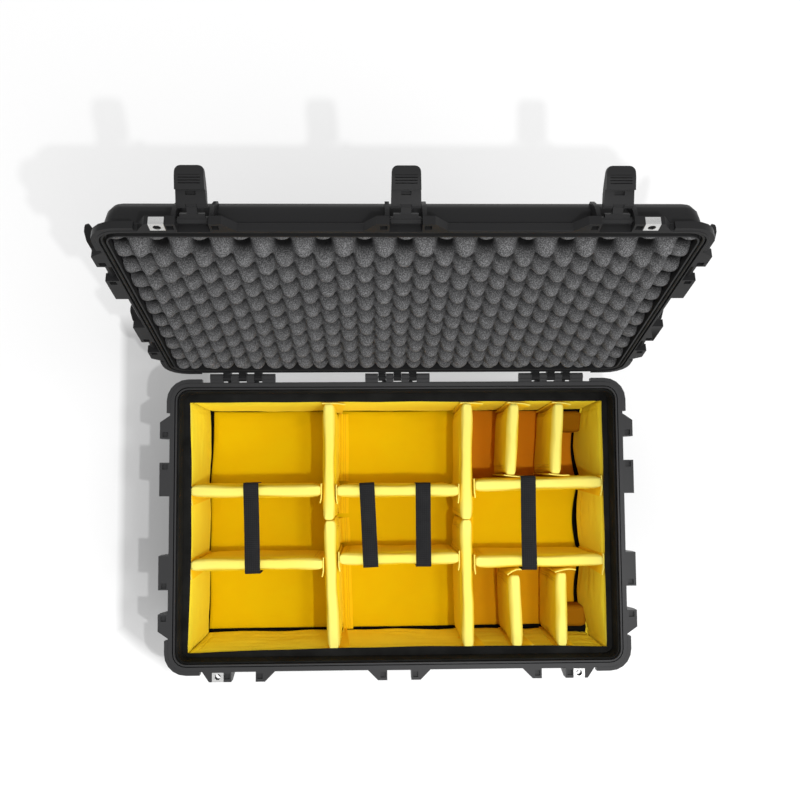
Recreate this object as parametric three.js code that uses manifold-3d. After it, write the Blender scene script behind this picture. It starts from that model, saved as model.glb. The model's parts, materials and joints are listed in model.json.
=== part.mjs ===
// Protective hard case with a padded divider set, standing on its base with the lid open.
// Frame: origin at the middle of the base's underside, +X to the right, +Y towards the hinges, +Z up.
// "Out" is measured outwards from the edge of the base flange, and "over" upwards from the rim plane.
import * as THREE from 'three';
import { mergeVertices } from 'three/addons/utils/BufferGeometryUtils.js';
import Module from 'manifold-3d';

const wasm = await Module();
wasm.setup();

// Main sizes of the two shells.
const flangeWidth = 750;
const flangeDepth = 470;
const flangeRound = 30;
const baseInnerDepth = 220;
const lidInnerDepth = 50.5;
const wall = 5;
const floorLift = 22;
const flangeOver = 7;
const baseFlangeThick = 10;
const lidFlangeThick = 12;
const baseLean = 9;
const lidLean = 4.5;
const lidEdgeRound = 28;
const closedGap = 0.5;
const fitGap = 0.3;
const overrun = 1;
const leastRound = 4;
const cornerSteps = 5;
const rodSides = 8;
const turnSides = 16;
const halfWidth = flangeWidth / 2;
const halfDepth = flangeDepth / 2;
const rim = floorLift + wall + baseInnerDepth;
const lidOuterDepth = lidInnerDepth + wall;

// How far the lid and the latches stand open.
const lidOpenDegrees = 105.2;
const linkOpenDegrees = { front: 130, side: 142 };
const leverOpenDegrees = 20;

// Rim details: a ridge inside a groove on the base, a gasket channel inside a lip on the lid.
const edgeBreak = 1.2;
const ridge = { width: 2.5, height: 1.5, slope: 0.3 };
const groove = { fromEdge: 7.5, width: 2, depth: 5, slope: 0.3 };
const channel = { fromEdge: 4, width: 8.6, depth: 7.5 };
const lip = { width: 2.4, blend: 3, relief: 1.8 };
const gasket = { width: 4, height: 5.4, inset: 1 };
const bottomRound = { size: 10, inner: 8 };
const skirt = { out: 3, top: 70, step: 4 };
const bumper = { out: 5.5, alongX: 52, alongY: 50, thick: 14 };

// Latch stations on the long and short sides, and the guard ribs that stand beside each latch.
const latchFromCorner = { front: 123, side: 112 };
const frontEnd = halfWidth - latchFromCorner.front;
const sideEnd = halfDepth - latchFromCorner.side;
const frontStations = [-frontEnd, 0, frontEnd];
const sideStations = [-sideEnd, sideEnd];
const latchGap = 39.2;
const rib = { reach: 16, tip: 15, full: 31, height: 62, shoulder: 20, knee: 42, kneeReach: 9 };
const endRib = { tip: 27, full: 38 };
const innerRib = { tip: 55, full: 55 };
const ribPlate = { thick: 5.4, foot: 14, knee: 8, kneeShare: 0.55, topShare: 0.86 };
const pocket = { side: 8.5, long: 9, depth: 5, fromGap: 2.6, fromEdge: 2.6 };
const lug = { tip: 36, full: 47, thick: 14, centre: 22, hole: 5.3 };
const plate = { wide: 18.6, thick: 1.5, fold: 10, inner: 1, hole: 5 };
const catchBar = { half: 21.9, out: 2, top: 9, bottom: 24 };

// Latch sizes: a link on the lid's trunnions and a lever with a hook face, a slot and a thumb pad.
const latch = {
  pivotOut: 7, pivotOver: 11, width: 36.6, linkDrop: 19, linkOut: 2,
  trunnion: 2.4, trunnionBore: 2.95, trunnionLong: 3.2,
  barrel: 4.6, tab: 12.4, tabThick: 6, yokeThick: 5, yokeDrop: 8.6, yokeHalf: 15,
  knuckle: 4.2, knuckleBore: 2.95, leverPin: 2.4, leverBarrel: 4.9, tabGap: 0.4,
};
const lever = {
  hookDrop: 16.6, hookReach: 12, panelIn: 5.6, padDrop: 44.4, taper: 1.2,
  padIn: 10.2, padOut: 3.4, tipIn: 7.4, tipOut: 3.2, bellyDrop: 12, belly: 5.8,
  waistDrop: 24, waist: 2.6, slotWide: 12, slotHigh: 4.6, slotDrop: 10.6, slotFloor: 1, tipRound: 7,
  ridgeDeep: 0.7, ridgePitch: 3.2, ridgeCount: 5, ridgeHalf: 13, ridgeFrom: 24,
};

// Hinge groups on the back edge.
const hinge = {
  out: 8.34, under: 4.33, barrel: 6.4, bore: 2.95, pin: 2.4, lidKnuckle: 12.5, pitch: 25.5,
  half: 53.5, sideGap: 0.4, webUnder: 10.8, webTop: 0.6, armTop: 11.4, armBack: 5.4, fromCorner: 119,
};
const hingeEnd = halfWidth - hinge.fromCorner;
const hingeStations = [-hingeEnd, 0, hingeEnd];

// Carrying handles: one on the front, one on each short side.
const bail = { half: 60, arm: 14, drop: 68, grip: 22, rise: 6, thick: 11, bevel: 2.4, round: 16 };
const bailPivot = { under: 82, out: 1, trunnion: 3, bore: 3.65, long: 8, ear: 12, earHalf: 12, earOut: 8 };

// Pull-out handle under the floor, at the left end.
const pull = {
  rod: 5.5, spacing: 112, height: 11, barOut: 16, barThick: 14, barWide: 17,
  barHalf: 82, bevel: 3, guideHalf: 11, guideBore: 6.2, travel: 330, spare: 2,
  outerGap: 43, outerLong: 26, innerGap: 83, innerLong: 20, endGap: 26, endLong: 24,
};
const outerGuide = { at: pull.outerGap - halfWidth, long: pull.outerLong };
const innerGuide = { at: pull.innerGap - halfWidth, long: pull.innerLong };
const rodEnd = innerGuide.at + innerGuide.long / 2 + pull.travel + pull.spare;
const endGuide = { at: rodEnd - pull.endGap, long: pull.endLong };

// Wheels at the right end and the wells that they turn in.
const wheel = { radius: 31, hub: 20, wide: 25, lift: 1, crown: 3, endGap: 23, sideGap: 50 };
const wheelX = halfWidth - wheel.endGap;
const wheelY = halfDepth - wheel.sideGap;
const axle = { radius: 4, bore: 4.5, hubBore: 4.6, seat: 4 };
const well = { clear: 8, sideGap: 2.5, wall: 6 };
const keelRail = { half: 22, endGap: 75 };
const skidRail = { half: 12, leftGap: 30, rightGap: 89, sideGap: 100 };
const wallRib = { wide: 9, out: 5, apart: 42 };
const roofRib = { wide: 46, high: 5, slope: 4, sideGap: 85, endGap: 90 };
const cornerPad = { wide: 70, long: 62, endGap: 80, sideGap: 80 };
const valve = {
  station: frontEnd / 2, under: 34, boss: 15, knob: 11, thick: 6, bossOut: 4, bore: 4, stem: 3.4,
};

// Padded liner and dividers.
const linerDrop = 38;
const pad = {
  side: 11.4, front: 9.4, back: 16.6, floor: 9.2, lift: 0.9,
  cornerClear: 10.5, floorInset: 13, floorEase: 4.2,
};
const wellCap = { over: 8, beside: 7, behind: 11, fromBack: 1.6 };
const collar = { thick: 2.6, under: 3.4, foot: 0.8 };
const dividerThick = 23;
const padding = { edge: 5, edgeShare: 0.8, nearShare: 0.96, pull: 0.8 };
const strap = { wide: 25.5, thick: 2.2, leg: 42 };
const foam = { pitchX: 50, pitchY: 43, back: 26, proud: 10, side: 15.7, roundInset: 0.4 };

const plastic = { color: 0x35363a, roughness: 0.55, metalness: 0 };
const darkPlastic = { color: 0x26272a, roughness: 0.45, metalness: 0 };
const yellowCloth = { color: 0xf2cf1e, roughness: 0.95, metalness: 0 };
const blackCloth = { color: 0x1b1b19, roughness: 0.95, metalness: 0 };
const foamGrey = { color: 0x4e4f52, roughness: 1, metalness: 0 };
const rubber = { color: 0x161616, roughness: 0.8, metalness: 0 };
const steel = { color: 0xc9ccd0, roughness: 0.35, metalness: 1 };
const hubGrey = { color: 0x3c3d40, roughness: 0.5, metalness: 0 };

const radians = THREE.MathUtils.degToRad;

// Outline and solid helpers.

// Points of a rounded rectangle, anticlockwise seen from above.
function roundedPlan(halfX, halfY, round) {
  const points = [];
  const quarter = Math.PI / 2;
  const corners = [[1, -1], [1, 1], [-1, 1], [-1, -1]];
  corners.forEach(([sx, sy], index) => {
    for (let step = 0; step <= cornerSteps; step++) {
      const angle = quarter * (index - 1 + step / cornerSteps);
      points.push([
        sx * (halfX - round) + round * Math.cos(angle),
        sy * (halfY - round) + round * Math.sin(angle),
      ]);
    }
  });
  return points;
}

// One level of a shell: the flange outline moved by "out", at a height.
function level(out, height) {
  const round = Math.max(flangeRound + out, leastRound);
  return { points: roundedPlan(halfWidth + out, halfDepth + out, round), height };
}

// Skin over a stack of levels; a loop joins the last level back to the first instead of capping.
function loft(levels, loop = false) {
  const count = levels[0].points.length;
  const positions = [];
  const indices = [];
  for (const { points, height } of levels) {
    for (const [x, y] of points) {
      positions.push(x, y, height);
    }
  }
  const spans = loop ? levels.length : levels.length - 1;
  for (let span = 0; span < spans; span++) {
    const low = span * count;
    const high = ((span + 1) % levels.length) * count;
    for (let i = 0; i < count; i++) {
      const j = (i + 1) % count;
      indices.push(low + i, low + j, high + j, low + i, high + j, high + i);
    }
  }
  if (!loop) {
    const top = (levels.length - 1) * count;
    for (let i = 1; i < count - 1; i++) {
      indices.push(0, i + 1, i);
      indices.push(top, top + i, top + i + 1);
    }
  }
  const geometry = new THREE.BufferGeometry();
  geometry.setAttribute('position', new THREE.Float32BufferAttribute(positions, 3));
  geometry.setIndex(indices);
  return geometry;
}

// Extrusions of a closed outline along each axis; the outline's two numbers are the other two axes.
function outlineShape(points) {
  return new THREE.Shape(points.map(([u, v]) => new THREE.Vector2(u, v)));
}

function prismZ(points, from, to) {
  const geometry = new THREE.ExtrudeGeometry(outlineShape(points), { depth: to - from, bevelEnabled: false });
  return geometry.translate(0, 0, from);
}

function prismX(points, from, to) {
  const swap = new THREE.Matrix4().makeBasis(
    new THREE.Vector3(0, 1, 0), new THREE.Vector3(0, 0, 1), new THREE.Vector3(1, 0, 0));
  return prismZ(points, from, to).applyMatrix4(swap);
}

function prismY(points, from, to) {
  const swap = new THREE.Matrix4().makeBasis(
    new THREE.Vector3(1, 0, 0), new THREE.Vector3(0, 0, 1), new THREE.Vector3(0, -1, 0));
  return prismZ(points, -to, -from).applyMatrix4(swap);
}

function block(x0, x1, y0, y1, z0, z1) {
  const box = new THREE.BoxGeometry(x1 - x0, y1 - y0, z1 - z0);
  return box.translate((x0 + x1) / 2, (y0 + y1) / 2, (z0 + z1) / 2);
}

function circle(radius, u, v, sides = rodSides) {
  const points = [];
  for (let i = 0; i < sides; i++) {
    const angle = 2 * Math.PI * (i + 1 / 2) / sides;
    points.push([u + radius * Math.cos(angle), v + radius * Math.sin(angle)]);
  }
  return points;
}

// A closed geometry as a boolean solid, and back.
function toSolid(geometry) {
  const bare = geometry.clone();
  bare.deleteAttribute('normal');
  bare.deleteAttribute('uv');
  const merged = mergeVertices(bare);
  return new wasm.Manifold(new wasm.Mesh({
    numProp: 3,
    vertProperties: Float32Array.from(merged.attributes.position.array),
    triVerts: Uint32Array.from(merged.index.array),
  }));
}

function toGeometry(solid) {
  const { vertProperties, triVerts } = solid.getMesh();
  const geometry = new THREE.BufferGeometry();
  geometry.setAttribute('position', new THREE.BufferAttribute(vertProperties, 3));
  geometry.setIndex(new THREE.BufferAttribute(triVerts, 1));
  const faceted = geometry.toNonIndexed();
  faceted.computeVertexNormals();
  return faceted;
}

// A body that grows by joins and shrinks by cuts.
class Body {
  constructor(geometry) {
    this.solid = toSolid(geometry);
  }

  join(...geometries) {
    geometries.forEach((geometry) => {
      this.solid = this.solid.add(toSolid(geometry));
    });
    return this;
  }

  cut(...geometries) {
    geometries.forEach((geometry) => {
      this.solid = this.solid.subtract(toSolid(geometry));
    });
    return this;
  }

  trim(geometry) {
    this.solid = this.solid.intersect(toSolid(geometry));
    return this;
  }

  get geometry() {
    return toGeometry(this.solid);
  }
}

// The four sides of the case. A side's own frame has x along the edge and -y outwards from the flange.
const sides = {
  front: { turn: 0, reach: halfDepth },
  right: { turn: Math.PI / 2, reach: halfWidth },
  back: { turn: Math.PI, reach: halfDepth },
  left: { turn: -Math.PI / 2, reach: halfWidth },
};

function onSide(geometry, side) {
  return geometry.clone().translate(0, -side.reach, 0).rotateZ(side.turn);
}

// Every latch station: its side, its place along the edge and its name.
const stations = [
  ...frontStations.map((along, i) => ({ side: sides.front, along, name: `front_${i + 1}`, front: true })),
  ...sideStations.map((along, i) => ({ side: sides.left, along, name: `left_${i + 1}`, front: false })),
  ...sideStations.map((along, i) => ({ side: sides.right, along, name: `right_${i + 1}`, front: false })),
];

function ordered(a, b) {
  return [Math.min(a, b), Math.max(a, b)];
}

// How far the base wall's outer and inner faces lie out at a height.
function baseWallOut(height) {
  return -flangeOver - baseLean * (rim - height) / baseInnerDepth;
}

function lidWallOut(over) {
  return -flangeOver - lidLean * (over - lidFlangeThick) / (lidOuterDepth - lidFlangeThick);
}

function mirrored(points, hand) {
  const moved = points.map(([x, y]) => [hand * x, y]);
  return hand < 0 ? moved.reverse() : moved;
}

// Plan of a guard rib beside a latch: square on the latch side, sloped on the far side.
function ribPlan(size, reach, sink) {
  const near = latchGap / 2;
  const shoulder = Math.max(reach, -sink + fitGap);
  return [
    [near, sink], [near, -shoulder], [near + size.tip, -shoulder],
    [near + size.full, Math.min(sink, -Math.min(shoulder, 0))], [near + size.full, sink + fitGap],
  ];
}

// Which rib form stands on each hand of a station.
function ribSizes(station, hand) {
  if (station.front) {
    return rib;
  }
  const outward = Math.sign(station.along) === hand;
  return outward ? endRib : innerRib;
}

// A padlock lug stands outside the end latches of the front.
function hasLug(station, hand) {
  return station.front && Math.sign(station.along) === hand;
}

function lugPlan(sink) {
  const near = latchGap / 2 + rib.tip / 2;
  const far = latchGap / 2;
  return [
    [near, sink], [near, -rib.reach],
    [far + lug.tip, -rib.reach], [far + lug.full, 0], [far + lug.full, sink],
  ];
}

// Base shell.

const grooveIn = groove.fromEdge + groove.width;
const ridgeIn = grooveIn + ridge.width;

function baseOutside() {
  const foot = floorLift;
  const size = bottomRound.size;
  const half = Math.SQRT1_2;
  const footOut = baseWallOut(foot) + skirt.out;
  const skirtTop = skirt.top;
  const wallTop = rim - baseFlangeThick;
  return loft([
    level(footOut - size, foot),
    level(footOut - size * (1 - half), foot + size * (1 - half)),
    level(footOut, foot + size),
    level(baseWallOut(skirtTop) + skirt.out, skirtTop),
    level(baseWallOut(skirtTop + skirt.step), skirtTop + skirt.step),
    level(baseWallOut(wallTop), wallTop),
    level(0, wallTop + edgeBreak),
    level(0, rim - edgeBreak),
    level(-edgeBreak, rim),
  ]);
}

function baseHollow() {
  const floorTop = floorLift + wall;
  const inner = bottomRound.inner;
  const half = Math.SQRT1_2;
  const innerFoot = baseWallOut(floorTop) - wall;
  return loft([
    level(innerFoot - inner, floorTop),
    level(innerFoot - inner * (1 - half), floorTop + inner * (1 - half)),
    level(innerFoot, floorTop + inner),
    level(-ridgeIn, rim),
    level(-ridgeIn, rim + ridge.height + overrun),
  ]);
}

// Sealing ridge on the rim, and the groove beside it.
function rimRidge() {
  return loft([
    level(-grooveIn, rim - overrun), level(-grooveIn, rim + ridge.height - ridge.slope),
    level(-grooveIn - ridge.slope, rim + ridge.height),
    level(-ridgeIn - overrun, rim + ridge.height), level(-ridgeIn - overrun, rim - overrun),
  ], true);
}

function rimGroove() {
  const foot = rim - groove.depth;
  return loft([
    level(-groove.fromEdge - groove.slope, foot), level(-groove.fromEdge, rim + overrun),
    level(-grooveIn, rim + overrun), level(-grooveIn + groove.slope, foot),
  ], true);
}

function baseGuards(station) {
  const pieces = [];
  for (const hand of [-1, 1]) {
    const size = ribSizes(station, hand);
    const heights = [rim - rib.height, rim - rib.knee, rim - rib.shoulder, rim - baseFlangeThick + overrun];
    const reaches = [-wall, rib.kneeReach, rib.reach, rib.reach];
    const levels = heights.map((height, i) => {
      const middle = -baseWallOut(height) + wall / 2;
      const reach = i === 0 ? -middle + overrun : reaches[i];
      return { points: mirrored(ribPlan(size, reach, middle), hand), height };
    });
    pieces.push(loft(levels));
    const sink = groove.fromEdge - ridge.width;
    pieces.push(prismZ(mirrored(ribPlan(size, rib.reach, sink), hand), rim - baseFlangeThick, rim));
    if (hasLug(station, hand)) {
      pieces.push(prismZ(mirrored(lugPlan(sink), hand), rim - lug.thick, rim));
    }
  }
  const bar = catchBar;
  const behind = flangeOver + wall / 2;
  pieces.push(block(-bar.half, bar.half, -bar.out, behind, rim - bar.bottom, rim - bar.top));
  return pieces.map((piece) => onSide(piece.translate(station.along, 0, 0), station.side));
}

// Cuts at a station: the pockets in the rib tops, and the padlock hole with the steel plate's seat.
function stationCuts(station, face, inward) {
  const cuts = [];
  for (const hand of [-1, 1]) {
    const near = latchGap / 2 + pocket.fromGap;
    const [x0, x1] = ordered(hand * near, hand * (near + pocket.side));
    const [z0, z1] = ordered(face + inward * pocket.depth, face - inward * overrun);
    cuts.push(block(x0, x1, -pocket.fromEdge - pocket.long, -pocket.fromEdge, z0, z1));
    if (hasLug(station, hand)) {
      const centre = hand * (latchGap / 2 + lug.centre);
      const half = plate.wide / 2 + fitGap;
      const seat = plate.thick + fitGap;
      const [s0, s1] = ordered(face + inward * seat, face - inward * overrun);
      cuts.push(block(centre - half, centre + half, -rib.reach - overrun, -plate.inner + fitGap, s0, s1));
      const [f0, f1] = ordered(face + inward * (plate.fold + fitGap), face - inward * overrun);
      cuts.push(block(centre - half, centre + half, -rib.reach - overrun, -rib.reach + seat, f0, f1));
      const [h0, h1] = ordered(face + inward * (lug.thick + overrun), face - inward * overrun);
      const across = -(rib.reach - plate.thick + plate.inner) / 2;
      cuts.push(prismZ(circle(lug.hole, centre, across), h0, h1));
    }
  }
  return cuts.map((piece) => onSide(piece.translate(station.along, 0, 0), station.side));
}

// Outward bumpers around the four corners of a flange.
function cornerBumpers(from, to) {
  const ring = new Body(loft([level(bumper.out, from), level(bumper.out, to)]));
  ring.cut(loft([level(-overrun, from - overrun), level(-overrun, to + overrun)]));
  const halfX = halfWidth - bumper.alongX;
  const halfY = halfDepth - bumper.alongY;
  ring.cut(block(-halfX, halfX, -flangeDepth, flangeDepth, from - overrun, to + overrun));
  ring.cut(block(-flangeWidth, flangeWidth, -halfY, halfY, from - overrun, to + overrun));
  return ring.geometry;
}

// Spans along a hinge group that the base knuckles and the lid knuckles take.
function knuckleSpans(onLid) {
  const half = hinge.lidKnuckle / 2;
  const centres = [-hinge.pitch, 0, hinge.pitch];
  if (onLid) {
    return centres.map((centre) => [centre - half, centre + half]);
  }
  const edges = [-hinge.half];
  centres.forEach((centre) => {
    edges.push(centre - half - hinge.sideGap, centre + half + hinge.sideGap);
  });
  edges.push(hinge.half);
  return [0, 2, 4, 6].map((i) => [edges[i], edges[i + 1]]);
}

function baseHinge(along) {
  const centreY = -hinge.out;
  const centreZ = rim - hinge.under;
  const pieces = [];
  for (const [from, to] of knuckleSpans(false)) {
    pieces.push(prismX(circle(hinge.barrel, centreY, centreZ), from, to));
    const web = [
      [centreY, rim - hinge.webUnder], [groove.fromEdge - ridge.width, rim - hinge.webUnder],
      [groove.fromEdge - ridge.width, rim - hinge.webTop], [centreY, rim - hinge.webTop],
    ];
    pieces.push(prismX(web, from, to));
  }
  return pieces.map((piece) => onSide(piece.translate(along, 0, 0), sides.back));
}

function hingeBore(along) {
  const reach = hinge.half + overrun;
  const bore = prismX(circle(hinge.bore, -hinge.out, rim - hinge.under), -reach, reach);
  return onSide(bore.translate(along, 0, 0), sides.back);
}

const bailSides = { front: sides.front, left: sides.left, right: sides.right };

function handleEars(side) {
  const pivotZ = rim - bailPivot.under;
  const backY = -baseWallOut(pivotZ) + wall / 2;
  const ears = [];
  for (const hand of [-1, 1]) {
    const near = bail.half + fitGap;
    const [from, to] = ordered(hand * near, hand * (near + bailPivot.ear));
    const faceY = -bailPivot.earOut;
    const half = bailPivot.earHalf;
    const outline = [
      [backY, pivotZ - half - wall], [backY, pivotZ + half + wall], [faceY + wall, pivotZ + half],
      [faceY, pivotZ + half / 2], [faceY, pivotZ - half / 2], [faceY + wall, pivotZ - half],
    ];
    ears.push(prismX(outline.reverse(), from, to));
  }
  return ears.map((ear) => onSide(ear, side));
}

function handleBores(side) {
  const reach = bail.half + bailPivot.long + overrun;
  const bore = prismX(circle(bailPivot.bore, -bailPivot.out, rim - bailPivot.under), -reach, reach);
  return onSide(bore, side);
}

// Underside: keel rail, two skid rails, the guides of the pull-out handle.
function underside() {
  const top = floorLift + wall / 2;
  const keelHalf = halfWidth - keelRail.endGap;
  const pieces = [block(-keelHalf, keelHalf, -keelRail.half, keelRail.half, 0, top)];
  for (const hand of [-1, 1]) {
    const middle = hand * (halfDepth - skidRail.sideGap);
    pieces.push(block(
      skidRail.leftGap - halfWidth, halfWidth - skidRail.rightGap,
      middle - skidRail.half, middle + skidRail.half, 0, top));
    const centre = hand * pull.spacing / 2;
    for (const { at, long } of [outerGuide, innerGuide, endGuide]) {
      pieces.push(block(
        at - long / 2, at + long / 2, centre - pull.guideHalf, centre + pull.guideHalf, overrun, top));
    }
  }
  return pieces;
}

function rodBores() {
  return [-1, 1].map((hand) => prismX(
    circle(pull.guideBore, hand * pull.spacing / 2, pull.height), -halfWidth, rodEnd + overrun));
}

// Wheel wells: a block of wall thickness inside the tub, and the hollow cut into it from below.
function wellBox(hand, grow, top) {
  const inner = wheelY - wheel.wide / 2 - well.sideGap - grow;
  const outer = wheelY + wheel.wide / 2 + well.sideGap + grow;
  const [y0, y1] = ordered(hand * inner, hand * outer);
  return { x0: wheelX - wheel.radius - well.clear - grow, y0, y1, z1: top + grow };
}

const wellTop = wheel.lift + 2 * wheel.radius + well.clear;

function wellWalls(hand) {
  const box = wellBox(hand, well.wall, wellTop);
  const outerX = halfWidth + baseWallOut(wellTop) - wall / 2;
  return block(box.x0, outerX, box.y0, box.y1, floorLift + wall / 2, box.z1);
}

function wellHollow(hand) {
  const box = wellBox(hand, 0, wellTop);
  return block(box.x0, flangeWidth, box.y0, box.y1, -overrun, box.z1);
}

function axleBore(hand) {
  const reach = wheel.wide / 2 + well.sideGap + axle.seat;
  const centre = hand * wheelY;
  return prismY(circle(axle.bore, wheelX, wheel.lift + wheel.radius), centre - reach, centre + reach);
}

// Stiffening ribs down the back wall under each hinge.
function wallRibs() {
  const top = rim - baseFlangeThick + overrun;
  const foot = skirt.top - overrun;
  const pieces = [];
  for (const along of hingeStations) {
    for (const hand of [-1, 1]) {
      const outline = [
        [-baseWallOut(top) + wall / 2, top], [wallRib.out - wall - skirt.out, top],
        [-baseWallOut(foot) - wallRib.out, foot], [-baseWallOut(foot) + wall / 2, foot],
      ];
      const centre = along + hand * wallRib.apart / 2;
      pieces.push(onSide(prismX(outline, centre - wallRib.wide / 2, centre + wallRib.wide / 2), sides.back));
    }
  }
  return pieces;
}

function valveBoss() {
  const height = rim - valve.under;
  const back = -baseWallOut(height) + wall / 2;
  return prismY(circle(valve.boss, valve.station, height, 2 * rodSides), -valve.bossOut + flangeOver, back);
}

function valveBore() {
  const height = rim - valve.under;
  return prismY(circle(valve.bore, valve.station, height), -flangeOver, -baseWallOut(height) + overrun);
}

function buildBase() {
  const base = new Body(baseOutside());
  stations.forEach((station) => base.join(...baseGuards(station)));
  hingeStations.forEach((along) => base.join(...baseHinge(along)));
  base.join(cornerBumpers(rim - bumper.thick, rim - edgeBreak / 2));
  Object.values(bailSides).forEach((side) => base.join(...handleEars(side)));
  base.join(...underside(), ...wallRibs());
  base.join(onSide(valveBoss(), sides.front));
  base.cut(rimGroove());
  base.join(rimRidge());
  base.cut(baseHollow());
  [-1, 1].forEach((hand) => base.join(wellWalls(hand)));
  stations.forEach((station) => base.cut(...stationCuts(station, rim, -1)));
  hingeStations.forEach((along) => base.cut(hingeBore(along)));
  Object.values(bailSides).forEach((side) => base.cut(handleBores(side)));
  base.cut(...rodBores());
  base.cut(onSide(valveBore(), sides.front));
  [-1, 1].forEach((hand) => base.cut(wellHollow(hand), axleBore(hand)));
  return base.geometry;
}

// Lid shell, drawn closed: its mating face lies a small gap over the rim plane.

function lidArc(centreOut, centreOver, radius, arcSteps = 4) {
  const levels = [];
  for (let step = 0; step <= arcSteps; step++) {
    const angle = step / arcSteps * Math.PI / 2;
    levels.push([centreOut + radius * Math.cos(angle), centreOver + radius * Math.sin(angle)]);
  }
  return levels;
}

const lidArcOver = lidOuterDepth - lidEdgeRound;
const lidArcOut = lidWallOut(lidArcOver) - lidEdgeRound;

const lidFace = rim + closedGap;
const channelIn = channel.fromEdge + channel.width;
const lipIn = channelIn + lip.width;

function lidLoft(profile) {
  return loft(profile.map(([out, over]) => level(out, rim + over)));
}

function lidOutside() {
  return lidLoft([
    [-edgeBreak, closedGap],
    [0, closedGap + edgeBreak],
    [0, lidFlangeThick - edgeBreak],
    [-edgeBreak, lidFlangeThick],
    [lidWallOut(lidFlangeThick), lidFlangeThick],
    ...lidArc(lidArcOut, lidArcOver, lidEdgeRound),
  ]);
}

function lidHollow() {
  const innerTop = channel.depth + wall;
  return lidLoft([
    [-lipIn, closedGap - overrun],
    [-lipIn, innerTop - lip.blend],
    [lidWallOut(innerTop) - wall - lip.relief / 2, innerTop],
    ...lidArc(lidArcOut, lidArcOver, lidEdgeRound - wall),
  ]);
}

function lidChannel() {
  const top = rim + channel.depth;
  return loft([
    level(-channel.fromEdge, lidFace - overrun), level(-channel.fromEdge, top),
    level(-channelIn, top), level(-channelIn, lidFace - overrun),
  ], true);
}

function lidGuards(station) {
  const pieces = [];
  const face = lidFace;
  const sink = channel.fromEdge - edgeBreak;
  for (const hand of [-1, 1]) {
    const size = ribSizes(station, hand);
    pieces.push(prismZ(mirrored(ribPlan(size, rib.reach, sink), hand), face, rim + lidFlangeThick));
    if (hasLug(station, hand)) {
      pieces.push(prismZ(mirrored(lugPlan(sink), hand), face, rim + lidFlangeThick));
    }
    const near = latchGap / 2;
    const foot = rim + lidFlangeThick - overrun;
    const knee = rim + lidOuterDepth * ribPlate.kneeShare;
    const top = rim + lidOuterDepth * ribPlate.topShare;
    const backOut = lidArcOut + lidEdgeRound / 2;
    const outline = [
      [-backOut, foot], [-backOut, top], [-lidWallOut(lidArcOver) + wall / 2, top],
      [-ribPlate.knee, knee], [-ribPlate.foot, foot + wall], [-ribPlate.foot, foot],
    ];
    const [from, to] = ordered(hand * near, hand * (near + ribPlate.thick));
    pieces.push(prismX(outline, from, to));
  }
  return pieces.map((piece) => onSide(piece.translate(station.along, 0, 0), station.side));
}

// The lid flange is set back between the ears, and the ears are bored for the link's trunnions.
function lidStationCuts(station) {
  const half = latchGap / 2;
  const pivotZ = rim + latch.pivotOver;
  const reach = latch.width / 2 + latch.trunnionLong + fitGap + overrun / 2;
  const sink = channel.fromEdge - edgeBreak;
  const top = rim + lidFlangeThick + overrun;
  const cuts = [
    block(-half, half, -rib.reach - overrun, sink, rim - overrun, top),
    prismX(circle(latch.trunnionBore, -latch.pivotOut, pivotZ), -reach, reach),
  ];
  return cuts.map((piece) => onSide(piece.translate(station.along, 0, 0), station.side));
}

function lidHinge(along) {
  const centreY = -hinge.out;
  const centreZ = rim - hinge.under;
  const face = rim + closedGap;
  const sink = channel.fromEdge - edgeBreak;
  const pieces = [];
  for (const [from, to] of knuckleSpans(true)) {
    pieces.push(prismX(circle(hinge.barrel, centreY, centreZ), from, to));
    const arm = [
      [sink, face], [centreY + hinge.barrel, face], [centreY + hinge.barrel, centreZ],
      [centreY - hinge.barrel, centreZ], [centreY - hinge.barrel, rim + hinge.armBack],
      [centreY, rim + hinge.armTop], [sink, rim + hinge.armTop],
    ];
    pieces.push(prismX(arm.reverse(), from, to));
  }
  return pieces.map((piece) => onSide(piece.translate(along, 0, 0), sides.back));
}

// Raised bars and corner pads on the roof, sloped at their edges.
function roofPad(x, y, halfX, halfY) {
  const foot = rim + lidOuterDepth - overrun;
  const corners = (inset) => [[-1, -1], [1, -1], [1, 1], [-1, 1]].map(([sx, sy]) => [
    x + sx * (halfX - inset), y + sy * (halfY - inset),
  ]);
  return loft([
    { points: corners(0), height: foot },
    { points: corners(0), height: foot + overrun },
    { points: corners(roofRib.slope), height: foot + overrun + roofRib.high },
  ]);
}

function roofForms() {
  const forms = [];
  const outer = halfDepth - roofRib.sideGap;
  const halfLong = halfWidth - roofRib.endGap;
  for (const middle of [-outer, 0, outer]) {
    const long = middle === 0 ? halfLong : halfLong - cornerPad.wide;
    forms.push(roofPad(0, middle, long, roofRib.wide / 2));
  }
  const padX = halfWidth - cornerPad.endGap;
  const padY = halfDepth - cornerPad.sideGap;
  for (const sx of [-1, 1]) {
    for (const sy of [-1, 1]) {
      forms.push(roofPad(sx * padX, sy * padY, cornerPad.wide / 2, cornerPad.long / 2));
    }
  }
  return forms;
}

function buildLid() {
  const lid = new Body(lidOutside());
  lid.join(cornerBumpers(lidFace + edgeBreak / 2, rim + lidFlangeThick - edgeBreak));
  stations.forEach((station) => lid.join(...lidGuards(station)));
  hingeStations.forEach((along) => lid.join(...lidHinge(along)));
  lid.join(...roofForms());
  lid.cut(lidHollow(), lidChannel());
  stations.forEach((station) => lid.cut(...stationCuts(station, lidFace, 1), ...lidStationCuts(station)));
  hingeStations.forEach((along) => lid.cut(hingeBore(along)));
  return lid.geometry;
}

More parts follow.
